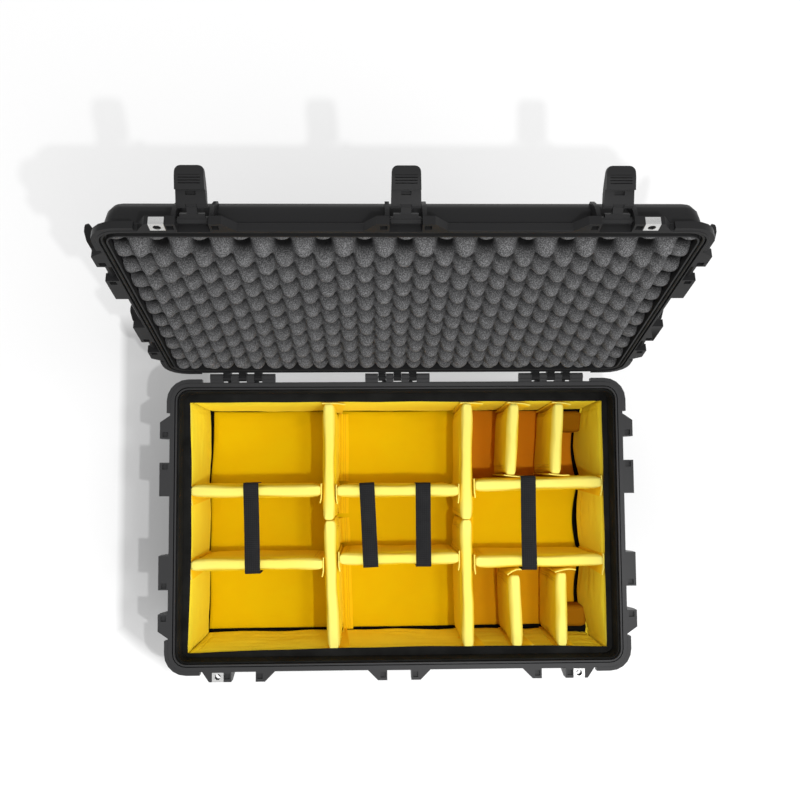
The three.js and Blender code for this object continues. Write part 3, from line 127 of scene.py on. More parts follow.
class Bench:
    """Small modelling steps that every sub-assembly uses."""

    @staticmethod
    def clear() -> None:
        """Leave edit mode and select nothing."""
        if bpy.context.object and bpy.context.object.mode != "OBJECT":
            bpy.ops.object.mode_set(mode="OBJECT")
        bpy.ops.object.select_all(action="DESELECT")

    @staticmethod
    def take(piece: Piece) -> None:
        """Select one object alone and make it active."""
        Bench.clear()
        piece.select_set(True)
        bpy.context.view_layer.objects.active = piece

    @staticmethod
    @contextmanager
    def edit(piece: Piece, select: str = "SELECT") -> Iterator[None]:
        """Stay in edit mode on a piece for some steps.

        Args:
            piece: The piece to edit.
            select: SELECT for all of it, DESELECT for none, or empty to keep what is selected.

        Yields:
            Nothing, and the piece is in object mode again afterwards.
        """
        Bench.take(piece)
        bpy.ops.object.mode_set(mode="EDIT")
        if select:
            bpy.ops.mesh.select_all(action=select)
        yield
        bpy.ops.object.mode_set(mode="OBJECT")

    @staticmethod
    def name(name: str) -> Piece:
        """Name the object just added and its mesh alike, and give it back."""
        piece = bpy.context.object
        piece.name = piece.data.name = name
        return piece

    @staticmethod
    def scale(piece: Piece, size: Vector) -> None:
        """Put a size into a piece's mesh."""
        piece.scale = size
        bpy.ops.object.transform_apply(location=True, rotation=True, scale=True)

    @staticmethod
    def show(name: str, data: bpy.types.ID) -> Piece:
        """Put a new object with its data in the scene."""
        piece = bpy.data.objects.new(name, data)
        bpy.context.scene.collection.objects.link(piece)
        return piece

    @staticmethod
    def copy(node: str, name: str) -> Piece:
        """Copy a CAD node under a new name and merge its loose triangles."""
        piece = Bench.show(name, frame["nodes"][node].data.copy())
        with Bench.edit(piece):
            bpy.ops.mesh.remove_doubles(threshold=LOOSE_TRIANGLES)
        return piece

    @staticmethod
    def modify(piece: Piece, kind: str, **settings: object) -> None:
        """Add a modifier, set it and apply it.

        Args:
            piece: The object to change.
            kind: Blender's modifier type, such as BEVEL.
            **settings: Values of the modifier's own properties.
        """
        Bench.take(piece)
        modifier = piece.modifiers.new(kind.lower(), kind)
        for key, value in settings.items():
            setattr(modifier, key, value)
        bpy.ops.object.modifier_apply(modifier=modifier.name)

    @staticmethod
    def soften(piece: Piece, width: float, angle: float) -> None:
        """Round the edges that are sharper than an angle."""
        Bench.modify(piece, "BEVEL", width=width, segments=2, limit_method="ANGLE",
                     angle_limit=math.radians(angle))

    @staticmethod
    def smooth(piece: Piece, angle: float) -> None:
        """Shade a piece smooth, with edges sharper than an angle kept sharp."""
        Bench.take(piece)
        bpy.ops.object.shade_smooth_by_angle(angle=math.radians(angle))

    @staticmethod
    def box(name: str, centre: Vector, size: Vector) -> Piece:
        """Add a box with its place and size in its mesh."""
        Bench.clear()
        bpy.ops.mesh.primitive_cube_add(size=1, location=centre)
        piece = Bench.name(name)
        Bench.scale(piece, size)
        return piece

    @staticmethod
    def move(piece: Piece, matrix: Matrix) -> None:
        """Move a piece's mesh, so that its object stays at the origin."""
        piece.data.transform(matrix)
        piece.data.update()

    @staticmethod
    def mark(piece: Piece, name: str, values: list[float], domain: str = "POINT") -> None:
        """Store one number per vertex or face as an attribute."""
        piece.data.attributes.new(name, "FLOAT", domain).data.foreach_set("value", values)

    @staticmethod
    def ribbon(name: str, points: list[Vector], across: Vector) -> Piece:
        """Extrude a straight edge along points, with the length and the width as the map.

        Args:
            name: The piece's name.
            points: The band's middle line.
            across: The band's width as a vector.

        Returns:
            The new band, one face wide.
        """
        Bench.clear()
        bpy.ops.mesh.primitive_plane_add(size=1, location=(0, 0, 0))
        piece = Bench.name(name)
        mesh = piece.data
        with Bench.edit(piece, "DESELECT"):
            bpy.ops.mesh.select_mode(type="VERT")
        for vertex in mesh.vertices:
            vertex.select = vertex.co.y > 0
            side = across * math.copysign(0.5, vertex.co.x)
            vertex.co = points[int(vertex.select)] + side
        for edge in mesh.edges:
            edge.select = all(mesh.vertices[corner].select for corner in edge.vertices)
        for before, after in zip(points[1:], points[2:]):
            with Bench.edit(piece, ""):
                bpy.ops.mesh.extrude_region_move(TRANSFORM_OT_translate={"value": after - before})
        travelled = [0.0]
        for before, after in zip(points, points[1:]):
            travelled.append(travelled[-1] + (after - before).length)
        layer = mesh.uv_layers.active or mesh.uv_layers.new(name="UVMap")
        layer.name = "UVMap"
        way = across.normalized()
        for loop in mesh.loops:
            place = mesh.vertices[loop.vertex_index].co
            off = [(place - point) - way * (place - point).dot(way) for point in points]
            nearest = min(range(len(points)), key=lambda index: off[index].length)
            layer.data[loop.index].uv = (travelled[nearest], place.dot(way))
        return piece

    @staticmethod
    def join(piece: Piece, parts: list[Piece]) -> None:
        """Sew parts onto a piece, so that they are one object."""
        if parts:
            Bench.take(piece)
            for part in parts:
                part.data.materials.clear()
                part.data.materials.append(piece.data.materials[0])
                part.select_set(True)
            bpy.ops.object.join()

    @staticmethod
    def finish(piece: Piece, material: bpy.types.Material, body: str, slot: Slot, *nodes: str) -> None:
        """Give a piece its material, its body and the CAD nodes that it stands for.

        Args:
            piece: The finished object.
            material: Its only material.
            body: The CAD body that it rides on.
            slot: The record's slot that its finish comes from; not used.
            *nodes: CAD nodes that it replaces.
        """
        piece.data.materials.clear()
        piece.data.materials.append(material)
        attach(piece, body)
        if nodes:
            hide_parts(*nodes)
        LOG.info("%s rides on %s with %d faces", piece.name, body, len(piece.data.polygons))


class Wiring:
    """A node tree being built, with short calls for its nodes."""

    def __init__(self, tree: bpy.types.NodeTree) -> None:
        """Work on a tree."""
        self.tree = tree
        self.place: Socket | None = None

    def feed(self, node: bpy.types.Node, inputs: dict[str | int, object]) -> None:
        """Link or set a node's inputs.

        Args:
            node: The node.
            inputs: For each input's name or number, a socket to link or a value to set.
        """
        for key, value in inputs.items():
            if isinstance(value, Socket):
                self.tree.links.new(value, node.inputs[key])
            else:
                node.inputs[key].default_value = value

    def add(self, kind: str, inputs: dict[str | int, object], **settings: object) -> bpy.types.Node:
        """Add a node, set its properties and feed its inputs.

        Args:
            kind: The node type without its ShaderNode prefix.
            inputs: What its inputs get.
            **settings: Properties of the node.

        Returns:
            The new node.
        """
        node = self.tree.nodes.new(f"ShaderNode{kind}")
        for key, value in settings.items():
            setattr(node, key, value)
        self.feed(node, inputs)
        return node

    def math(self, operation: str, *values: Socket | float) -> Socket:
        """Work out a number from sockets and numbers."""
        return self.add("Math", dict(enumerate(values)), operation=operation).outputs["Value"]

    def fold(self, operation: str, sockets: list[Socket]) -> Socket:
        """Combine sockets one after another."""
        result = sockets[0]
        for socket in sockets[1:]:
            result = self.math(operation, result, socket)
        return result

    def ramp(self, value: Socket, start: Socket | float, end: Socket | float,
             low: float = 0, high: float = 1) -> Socket:
        """Spread a number from one range to another."""
        ends = {"From Min": start, "From Max": end, "To Min": low, "To Max": high}
        return self.add("MapRange", {"Value": value, **ends}).outputs["Result"]

    def noise(self, scale: Socket | float, detail: float = 2) -> Socket:
        """Noise of a scale and detail on the tree's coordinates."""
        inputs = {"Vector": self.place, "Scale": scale, "Detail": detail}
        return self.add("TexNoise", inputs).outputs["Fac"]

    def axes(self) -> bpy.types.NodeOutputs:
        """The coordinates' three numbers by their names."""
        return self.add("SeparateXYZ", {"Vector": self.place}).outputs


class SharedGroup(Wiring):
    """Node group that more than one finish uses, from a vector and numbers to numbers."""

    def __init__(self, name: str, **numbers: float) -> None:
        """Start the group with its inputs."""
        super().__init__(bpy.data.node_groups.new(name, "ShaderNodeTree"))
        self.socket("Vector", "INPUT", "Vector")
        for key, value in numbers.items():
            self.socket(key, "INPUT").default_value = value
        self.inputs = self.tree.nodes.new("NodeGroupInput").outputs
        self.place = self.inputs["Vector"]

    def socket(self, name: str, way: str, kind: str = "Float") -> bpy.types.NodeTreeInterfaceSocket:
        """Add a socket to the group's interface."""
        return self.tree.interface.new_socket(name=name, in_out=way, socket_type=f"NodeSocket{kind}")

    def give(self, **results: Socket) -> bpy.types.NodeTree:
        """Add an output for each result, and give the whole group."""
        for key in results:
            self.socket(key, "OUTPUT")
        self.feed(self.tree.nodes.new("NodeGroupOutput"), results)
        return self.tree


class NodeKit:
    """The shared groups, each built once."""

    def __init__(self) -> None:
        """Build the groups."""
        self.grain = self._grain()
        self.wear = self._wear()
        self.dust = self._dust()

    @staticmethod
    def _grain() -> bpy.types.NodeTree:
        """Fine moulded or woven grain: a height and a slow tone change."""
        group = SharedGroup("surface_grain", Fine=900.0, Broad=9.0)
        height = group.noise(group.inputs["Fine"], 3)
        return group.give(Height=height, Tone=group.noise(group.inputs["Broad"], 4))

    @staticmethod
    def _wear() -> bpy.types.NodeTree:
        """Mask of outward edges, broken up by noise."""
        group = SharedGroup("edge_wear", Start=0.52, End=0.6, Patches=60.0)
        sharp = group.add("NewGeometry", {}).outputs["Pointiness"]
        edges = group.ramp(sharp, group.inputs["Start"], group.inputs["End"])
        return group.give(Mask=group.math("MULTIPLY", edges, group.noise(group.inputs["Patches"])))

    @staticmethod
    def _dust() -> bpy.types.NodeTree:
        """Mask of light dust in soft patches."""
        group = SharedGroup("fine_dust", Patches=14.0, Start=0.45, End=0.8)
        patches = group.noise(group.inputs["Patches"], 6)
        return group.give(Mask=group.ramp(patches, group.inputs["Start"], group.inputs["End"]))


class Canvas(Wiring):
    """One material being built round its Principled shader, on Object coordinates."""

    def __init__(self, name: str) -> None:
        """Start a material."""
        self.material = bpy.data.materials.new(name)
        self.material.use_nodes = True
        super().__init__(self.material.node_tree)
        self.shader = self.tree.nodes["Principled BSDF"]
        self.place = self.add("TexCoord", {}).outputs["Object"]

    def group(self, tree: bpy.types.NodeTree, **values: float) -> bpy.types.NodeOutputs:
        """Place a shared group with its own values, and give its outputs."""
        return self.add("Group", {"Vector": self.place, **values}, node_tree=tree).outputs

    def mark(self, name: str) -> Socket:
        """Number that the mesh stores under a name."""
        return self.add("Attribute", {}, attribute_name=name).outputs["Fac"]

    def blend(self, mask: Socket, low: Socket | tuple, high: tuple) -> Socket:
        """Mix two colours by a mask.

        Args:
            mask: Socket with a number from 0 to 1.
            low: Colour where the mask is 0.
            high: Colour where it is 1.

        Returns:
            The colour socket.
        """
        ends = {"A": low if isinstance(low, Socket) else (*low, 1), "B": (*high, 1)}
        return self.add("Mix", {"Factor": mask, **ends}, data_type="RGBA").outputs["Result"]

    def coat(self, colour: Socket | tuple, rough: Socket | float, shine: float, **more: object) -> None:
        """Feed the shader.

        Args:
            colour: Its base colour.
            rough: Its roughness.
            shine: Its level of reflection.
            **more: Other inputs, with underscores for the spaces in their names.
        """
        inputs = {"Base Color": colour, "Roughness": rough, "Specular IOR Level": shine}
        self.feed(self.shader, inputs | {key.replace("_", " "): value for key, value in more.items()})

    def bump(self, height: Socket, distance: float, strength: float) -> None:
        """Raise the surface by a height, after any bump that is there."""
        node = self.add("Bump", {"Distance": distance, "Strength": strength, "Height": height})
        target = self.shader.inputs["Normal"]
        if target.links:
            self.feed(node, {"Normal": target.links[0].from_socket})
        self.feed(self.shader, {"Normal": node.outputs["Normal"]})


@dataclass(frozen=True)
class Finish:
    """Procedural material that a kind of finish paints from its own settings."""

    name: str

    def paint(self, canvas: Canvas, kit: NodeKit) -> None:
        """Add the finish's nodes to its canvas."""
        raise NotImplementedError

    def build(self, kit: NodeKit) -> bpy.types.Material:
        """Build the material."""
        canvas = Canvas(self.name)
        self.paint(canvas, kit)
        return canvas.material


@dataclass(frozen=True)
class PlasticFinish(Finish):
    """Moulded plastic with a fine spark-eroded grain, pale edges that are partly rubbed wear and partly
    painted highlight, and a little dust.

    Where well is given, it is half the room inside the shell, which is painted near black as painted shade,
    with no rubbing or dust and full roughness.
    """

    colour: tuple = (0.005, 0.005, 0.0055)
    worn: tuple = (0.075, 0.075, 0.077)
    dusty: tuple = (0.01, 0.01, 0.0098)
    rough: tuple = (0.38, 0.44)
    shine: float = 0.055
    grain: float = 1100.0
    patches: float = 7.0
    tone_share: float = 0.02
    dust_share: float = 0.12
    relief: tuple = (0.00012, 0.5)
    well: tuple | None = None
    well_fade: float = 4 * MM
    unlit: tuple = (0.0025, 0.0025, 0.0025)

    def inside(self, canvas: Canvas) -> Socket:
        """Mask of the room inside the shell."""
        sizes = [canvas.math("ABSOLUTE", number) for number in canvas.axes()]
        return canvas.fold("MULTIPLY", [
            canvas.ramp(size, reach, reach + self.well_fade, 1, 0) for size, reach in zip(sizes, self.well)])

    def paint(self, canvas: Canvas, kit: NodeKit) -> None:
        """Add the finish's nodes to its canvas."""
        grain = canvas.group(kit.grain, Fine=self.grain, Broad=self.patches)
        tone = canvas.ramp(grain["Tone"], *NOISE_SPAN, 0, self.tone_share)
        dust = canvas.ramp(canvas.group(kit.dust)["Mask"], 0, 1, 0, self.dust_share)
        # Pale rounded edges: partly rubbed wear, partly painted highlight along every edge.
        rubbed_edge_wear_and_highlight = canvas.math("MULTIPLY", canvas.group(kit.wear)["Mask"], canvas.mark("rubbed_and_highlit_edge"))
        dusted = canvas.blend(dust, canvas.blend(tone, self.colour, self.worn), self.dusty)
        colour = canvas.blend(rubbed_edge_wear_and_highlight, dusted, self.worn)
        rough = canvas.ramp(grain["Tone"], *NOISE_SPAN, *self.rough)
        # Painted shade: inside the shell the plastic takes the near black unlit colour.
        if self.well:
            inside = self.inside(canvas)
            colour = canvas.blend(inside, colour, self.unlit)
            rough = canvas.math("MAXIMUM", rough, inside)
        canvas.coat(colour, rough, self.shine)
        canvas.bump(grain["Height"], *self.relief)


@dataclass(frozen=True)
class SteelFinish(Finish):
    """Steel with fine drawn streaks along X."""

    colour: tuple = (0.78, 0.78, 0.77)
    shade: tuple = (0.5, 0.5, 0.5)
    stretch: tuple = (0.08, 1, 1)
    rough: tuple = (0.22, 0.42)
    shine: float = 0.5
    relief: tuple = (0.00005, 0.3)

    def paint(self, canvas: Canvas, kit: NodeKit) -> None:
        """Add the finish's nodes to its canvas."""
        drawn = canvas.add("Mapping", {"Scale": self.stretch, "Vector": canvas.place})
        canvas.place = drawn.outputs["Vector"]
        streaks = canvas.group(kit.grain, Fine=3200.0, Broad=260.0)
        rough = canvas.ramp(streaks["Height"], *NOISE_SPAN, *self.rough)
        canvas.coat(canvas.blend(streaks["Tone"], self.shade, self.colour), rough, self.shine, Metallic=1)
        canvas.bump(streaks["Height"], *self.relief)


@dataclass(frozen=True)
class RubberFinish(Finish):
    """Matt rubber with a pale bloom."""

    colour: tuple = (0.008, 0.008, 0.008)
    bloom: tuple = (0.03, 0.03, 0.029)
    bloom_span: tuple = (0.35, 0.7, 0, 0.6)
    rough: tuple = (0.6, 0.85)
    shine: float = 0.3
    relief: tuple = (0.0001, 0.5)

    def paint(self, canvas: Canvas, kit: NodeKit) -> None:
        """Add the finish's nodes to its canvas."""
        grain = canvas.group(kit.grain, Fine=1500.0, Broad=30.0)
        colour = canvas.blend(canvas.ramp(grain["Tone"], *self.bloom_span), self.colour, self.bloom)
        canvas.coat(colour, canvas.ramp(grain["Height"], *NOISE_SPAN, *self.rough), self.shine)
        canvas.bump(grain["Height"], *self.relief)


@dataclass(frozen=True)
class ClothFinish(Finish):
    """Brushed loop cloth: a fine nap over a knitted ground, with slow changes of tone and sewn seams.

    A piece that has the attribute hem, its distance from its own border, shows a double row of stitches.
    Spans are a mask's two input ends, and for some its two output ends too.
    """

    colour: tuple = (0.96, 0.66, 0.01)
    deep: tuple = (0.95, 0.58, 0.005)
    deep_span: tuple = (0.3, 0.75, 0, 0.55)
    # Painted highlight: the cloth is painted paler above a height, for the lit tops of panels and dividers.
    crest: tuple = (0.93, 0.8, 0.17)
    crest_span: tuple = (0.196, 0.208)
    thread: tuple = (0.62, 0.36, 0.01)
    thread_share: float = 0.35
    black: tuple = (0.0075, 0.0075, 0.007)
    black_span: tuple = (-0.0003, 0.0003)
    knit: float = 1400.0
    patches: float = 22.0
    rough: tuple = (0.8, 0.95)
    sheen: float = 0.5
    sheen_rough: float = 0.4
    sheen_tint: tuple = (1.0, 0.77, 0.05)
    shine: float = 0.05
    # Painted shade: where shaded is given, the narrow bays at the right are painted in this darker colour.
    shaded: tuple | None = None
    shaded_zones: tuple = ((0.05, 0.066, 0, 1.0), (-0.055, -0.07, 0, 0.55))
    shaded_from: tuple = (0.108, 0.118)
    seams: tuple = (0.0105, 0.0145)
    seam_width: float = 0.0005
    backed: bool = False
    nap_relief: tuple = (0.0004, 0.5)
    fuzz_relief: tuple = (0.0003, 0.35)
    seam_relief: tuple = (0.0006, 0.8)

    def seam(self, canvas: Canvas) -> Socket:
        """Mask of the stitched rows beside the border."""
        hem = canvas.mark("hem")
        offs = [canvas.math("ABSOLUTE", canvas.math("SUBTRACT", hem, place)) for place in self.seams]
        rows = [canvas.ramp(off, self.seam_width, 2 * self.seam_width, 1, 0) for off in offs]
        return canvas.fold("MAXIMUM", rows)

    def narrow_bays(self, canvas: Canvas, axes: bpy.types.NodeOutputs) -> Socket:
        """Mask of the narrow bays at the right, whose floor cloth is painted in a deeper, browner colour as
        painted shade.
        """
        zones = canvas.fold("MAXIMUM", [canvas.ramp(axes["Y"], *zone) for zone in self.shaded_zones])
        return canvas.math("MULTIPLY", zones, canvas.ramp(axes["X"], *self.shaded_from))

    def paint(self, canvas: Canvas, kit: NodeKit) -> None:
        """Add the finish's nodes to its canvas."""
        nap = canvas.group(kit.grain, Fine=self.knit, Broad=self.patches)
        fuzz = canvas.add("TexVoronoi", {"Scale": self.knit / 2, "Vector": canvas.place}).outputs["Distance"]
        stitched = self.seam(canvas)
        axes = canvas.axes()
        ground = canvas.blend(canvas.ramp(nap["Tone"], *self.deep_span), self.colour, self.deep)
        # Painted highlight: paler colour on the tops by height.
        ground = canvas.blend(canvas.ramp(axes["Z"], *self.crest_span), ground, self.crest)
        # Painted shade in the narrow bays at the right.
        if self.shaded:
            ground = canvas.blend(self.narrow_bays(canvas, axes), ground, self.shaded)
        colour = canvas.blend(canvas.ramp(stitched, 0, 1, 0, self.thread_share), ground, self.thread)
        if self.backed:
            colour = canvas.blend(canvas.ramp(canvas.mark("wallward"), *self.black_span), colour, self.black)
        canvas.coat(colour, canvas.ramp(nap["Height"], *NOISE_SPAN, *self.rough), self.shine,
                    Sheen_Weight=self.sheen, Sheen_Roughness=self.sheen_rough,
                    Sheen_Tint=(*self.sheen_tint, 1))
        canvas.bump(nap["Height"], *self.nap_relief)
        canvas.bump(fuzz, *self.fuzz_relief)
        canvas.bump(canvas.ramp(stitched, 0, 1, 1, 0), *self.seam_relief)


@dataclass(frozen=True)
class LiningFinish(Finish):
    """Black loop cloth of the collar, with a mitred seam in each corner."""

    colour: tuple = (0.007, 0.007, 0.0065)
    nap: tuple = (0.016, 0.016, 0.015)
    nap_span: tuple = (0.35, 0.7, 0, 0.8)
    rough: tuple = (0.85, 0.98)
    shine: float = 0.12
    mitre: float = 139.5 * MM
    mitre_width: float = 0.7 * MM
    nap_relief: tuple = (0.0004, 0.5)
    mitre_relief: tuple = (0.001, 1.0)

    def paint(self, canvas: Canvas, kit: NodeKit) -> None:
        """Add the finish's nodes to its canvas."""
        grain = canvas.group(kit.grain, Fine=1500.0, Broad=26.0)
        colour = canvas.blend(canvas.ramp(grain["Tone"], *self.nap_span), self.colour, self.nap)
        canvas.coat(colour, canvas.ramp(grain["Height"], *NOISE_SPAN, *self.rough), self.shine)
        axes = canvas.axes()
        across = canvas.math("SUBTRACT", *[canvas.math("ABSOLUTE", axes[axis]) for axis in "XY"])
        groove = canvas.math("COMPARE", across, self.mitre, self.mitre_width)
        canvas.bump(grain["Height"], *self.nap_relief)
        canvas.bump(canvas.ramp(groove, 0, 1, 1, 0), *self.mitre_relief)


@dataclass(frozen=True)
class FoamFinish(Finish):
    """Open-cell foam: dark cells between pale struts, darker in the valleys as painted shade, where the
    struts fade too.
    """

    colour: tuple = (0.05, 0.05, 0.051)
    # Painted shade: the near black colour of the foam's valleys.
    valley: tuple = (0.0025, 0.0025, 0.0027)
    valley_span: tuple = (0.35, 0.88)
    strut: tuple = (0.19, 0.19, 0.194)
    strut_span: tuple = (0.3, 0.75)
    strut_lift: tuple = (0.4, 0.95, 0.02, 1)
    speckle_span: tuple = (0.58, 0.74, 0, 0.6)
    cells: float = 760.0
    rough: tuple = (0.9, 1)
    shine: float = 0.15
    relief: tuple = (0.0012, 0.7)

    def paint(self, canvas: Canvas, kit: NodeKit) -> None:
        """Add the finish's nodes to its canvas."""
        cells = canvas.add("TexVoronoi", {"Scale": self.cells, "Vector": canvas.place}, feature="F1")
        cells = cells.outputs["Distance"]
        grain = canvas.group(kit.grain, Fine=700.0, Broad=15.0)
        lift = canvas.mark("lift")
        speckle = canvas.ramp(grain["Height"], *self.speckle_span)
        struts = canvas.math("MAXIMUM", canvas.ramp(cells, *self.strut_span), speckle)
        # Painted shade: by the lift mark, the valleys take the valley colour and the pale struts fade out
        # there.
        shown = canvas.math("MULTIPLY", struts, canvas.ramp(lift, *self.strut_lift))
        ground = canvas.blend(canvas.ramp(lift, *self.valley_span), self.valley, self.colour)
        rough = canvas.ramp(grain["Tone"], *NOISE_SPAN, *self.rough)
        canvas.coat(canvas.blend(shown, ground, self.strut), rough, self.shine)
        canvas.bump(cells, *self.relief)


@dataclass(frozen=True)
class WebbingFinish(Finish):
    """Woven webbing: ribs across its width and along its length, from its own map."""

    colour: tuple = (0.009, 0.009, 0.0095)
    thread: tuple = (0.026, 0.026, 0.028)
    ribs: float = 1.6 * MM
    waver: float = 0.4
    rough: tuple = (0.8, 0.95)
    shine: float = 0.2
    weave_relief: tuple = (0.0003, 0.8)
    fuzz_relief: tuple = (0.0002, 0.6)

    def paint(self, canvas: Canvas, kit: NodeKit) -> None:
        """Add the finish's nodes to its canvas."""
        uv = canvas.add("UVMap", {}, uv_map="UVMap").outputs["UV"]
        wave = {"Scale": 1 / self.ribs / 20 * math.pi, "Distortion": self.waver, "Vector": uv}
        weave = canvas.fold("MULTIPLY", [
            canvas.add("TexWave", wave, bands_direction=direction).outputs["Fac"] for direction in "XY"])
        fuzz = canvas.group(kit.grain, Fine=1800.0, Broad=60.0)
        rough = canvas.ramp(fuzz["Tone"], *NOISE_SPAN, *self.rough)
        canvas.coat(canvas.blend(weave, self.colour, self.thread), rough, self.shine)
        canvas.bump(weave, *self.weave_relief)
        canvas.bump(fuzz["Height"], *self.fuzz_relief)


class Finishes:
    """Every finish of the case, built once."""

    def __init__(self) -> None:
        """Build the materials."""
        kit = NodeKit()
        self.shell = PlasticFinish(
            "charcoal_shell", colour=(0.027, 0.027, 0.028), worn=(0.085, 0.085, 0.087),
            dusty=(0.04, 0.039, 0.038), shine=0.22, well=(0.352, 0.212, 0.205)).build(kit)
        # Painted shade: the lid is the shell's plastic in a darker copy, for the standing lid that catches
        # less light than the base.
        self.lid = PlasticFinish(
            "lid_shell_painted_shade", colour=(0.017, 0.017, 0.0175), dusty=(0.022, 0.022, 0.0215),
            rough=(0.34, 0.38)).build(kit)
        self.fitting = PlasticFinish(
            "black_fitting", colour=(0.02, 0.02, 0.0205), rough=(0.32, 0.44)).build(kit)
        self.hub = PlasticFinish("wheel_hub", rough=(0.35, 0.5)).build(kit)
        self.plate = SteelFinish("padlock_steel").build(kit)
        self.pin = SteelFinish("pin_steel", colour=(0.55, 0.55, 0.56), shade=(0.35, 0.35, 0.36)).build(kit)
        self.gasket = RubberFinish("gasket_rubber").build(kit)
        self.tyre = RubberFinish("tyre_rubber", bloom=(0.025, 0.025, 0.025)).build(kit)
        self.yellow = ClothFinish("yellow_loop_cloth").build(kit)
        self.backed = ClothFinish(
            "yellow_cloth_black_back", colour=(0.97, 0.82, 0.05), deep=(0.95, 0.75, 0.03),
            backed=True).build(kit)
        # Painted shade: the floor pad's cloth is painted darker and more orange than the same cloth on the
        # walls and dividers, for the shade deep in the tub.
        self.floor = ClothFinish(
            "yellow_floor_cloth_painted_shade", colour=(0.82, 0.57, 0.002), deep=(0.8, 0.5, 0.001),
            shaded=(0.74, 0.26, 0.008), sheen=0.05).build(kit)
        # Painted shade: the caps over the wheel wells are yellow cloth painted dark brown, like the shaded
        # floor of the narrow bays.
        self.cap = ClothFinish(
            "cap_cloth_painted_shade", colour=(0.36, 0.15, 0.004), deep=(0.33, 0.13, 0.003),
            crest=(0.4, 0.18, 0.006), sheen=0.0).build(kit)
        self.lining = LiningFinish("black_loop_cloth").build(kit)
        self.foam = FoamFinish("lid_foam").build(kit)
        self.webbing = WebbingFinish("black_webbing").build(kit)


@dataclass
class MouldedParts:
    """Rigid nodes whose edges get the small rounds of moulded and pressed pieces."""

    finishes: Finishes
    flat: float = 0.6
    skewed: float = 40.0
    crease: float = 28.0
    area_slack: float = 0.0005
    rounds: dict[Slot, float] = field(default_factory=lambda: {
        Slot.SHELL: 0.7 * MM, Slot.FITTING: 0.6 * MM, Slot.HUB: 0.5 * MM, Slot.PLATE: 0.2 * MM,
        Slot.PIN: 0.2 * MM, Slot.GASKET: 0.6 * MM, Slot.TYRE: 0.8 * MM,
    })

    def rounded(self, node: str, width: float) -> Piece:
        """Copy a CAD node, merge its flat faces and round its edges.

        Args:
            node: The CAD node to copy.
            width: How far the round reaches from each edge.

        Returns:
            The new piece.
        """
        piece = Bench.copy(node, f"{node}_finished")
        loose = piece.data.copy()
        before = sum(face.area for face in piece.data.polygons)
        with Bench.edit(piece):
            bpy.ops.mesh.dissolve_limited(angle_limit=math.radians(self.flat))
        after = sum(face.area for face in piece.data.polygons)
        if abs(after - before) > self.area_slack * before:
            piece.data = loose
            with Bench.edit(piece):
                bpy.ops.mesh.tris_convert_to_quads(
                    face_threshold=math.radians(self.flat), shape_threshold=math.radians(self.skewed))
        Bench.soften(piece, width, self.crease)
        Bench.smooth(piece, self.crease)
        Bench.modify(piece, "WEIGHTED_NORMAL", keep_sharp=True)
        Bench.mark(piece, "rubbed_and_highlit_edge", self.rubbed(piece, width), "FACE")
        return piece

    def rubbed(self, piece: Piece, width: float) -> list[float]:
        """For each face 1 if it is narrow, as the rounded edges are, which are painted paler, partly as
        rubbed wear and partly as painted highlight.
        """
        corners = piece.data.vertices
        found = []
        for face in piece.data.polygons:
            places = [corners[index].co for index in face.vertices]
            around = sum((place - places[step - 1]).length for step, place in enumerate(places))
            found.append(float(2 * face.area < width * around))
        return found

    def build(self) -> None:
        """Round and dress every rigid node."""
        slots = {entry["node"]: entry["material_slot"] for entry in frame["record"]["subparts"]}
        bodies = frame["record"]["behaviour"]["bodies"]
        body_of = {node: body for body, nodes in bodies.items() for node in nodes}
        for node, name in slots.items():
            slot = Slot(name)
            if slot in self.rounds:
                piece = self.rounded(node, self.rounds[slot])
                # The lid shell takes the darker copy of the shell plastic, as painted shade.
                finish = "lid" if node == "lid_shell" else slot.name.lower()
                Bench.finish(piece, getattr(self.finishes, finish), body_of[node], slot, node)


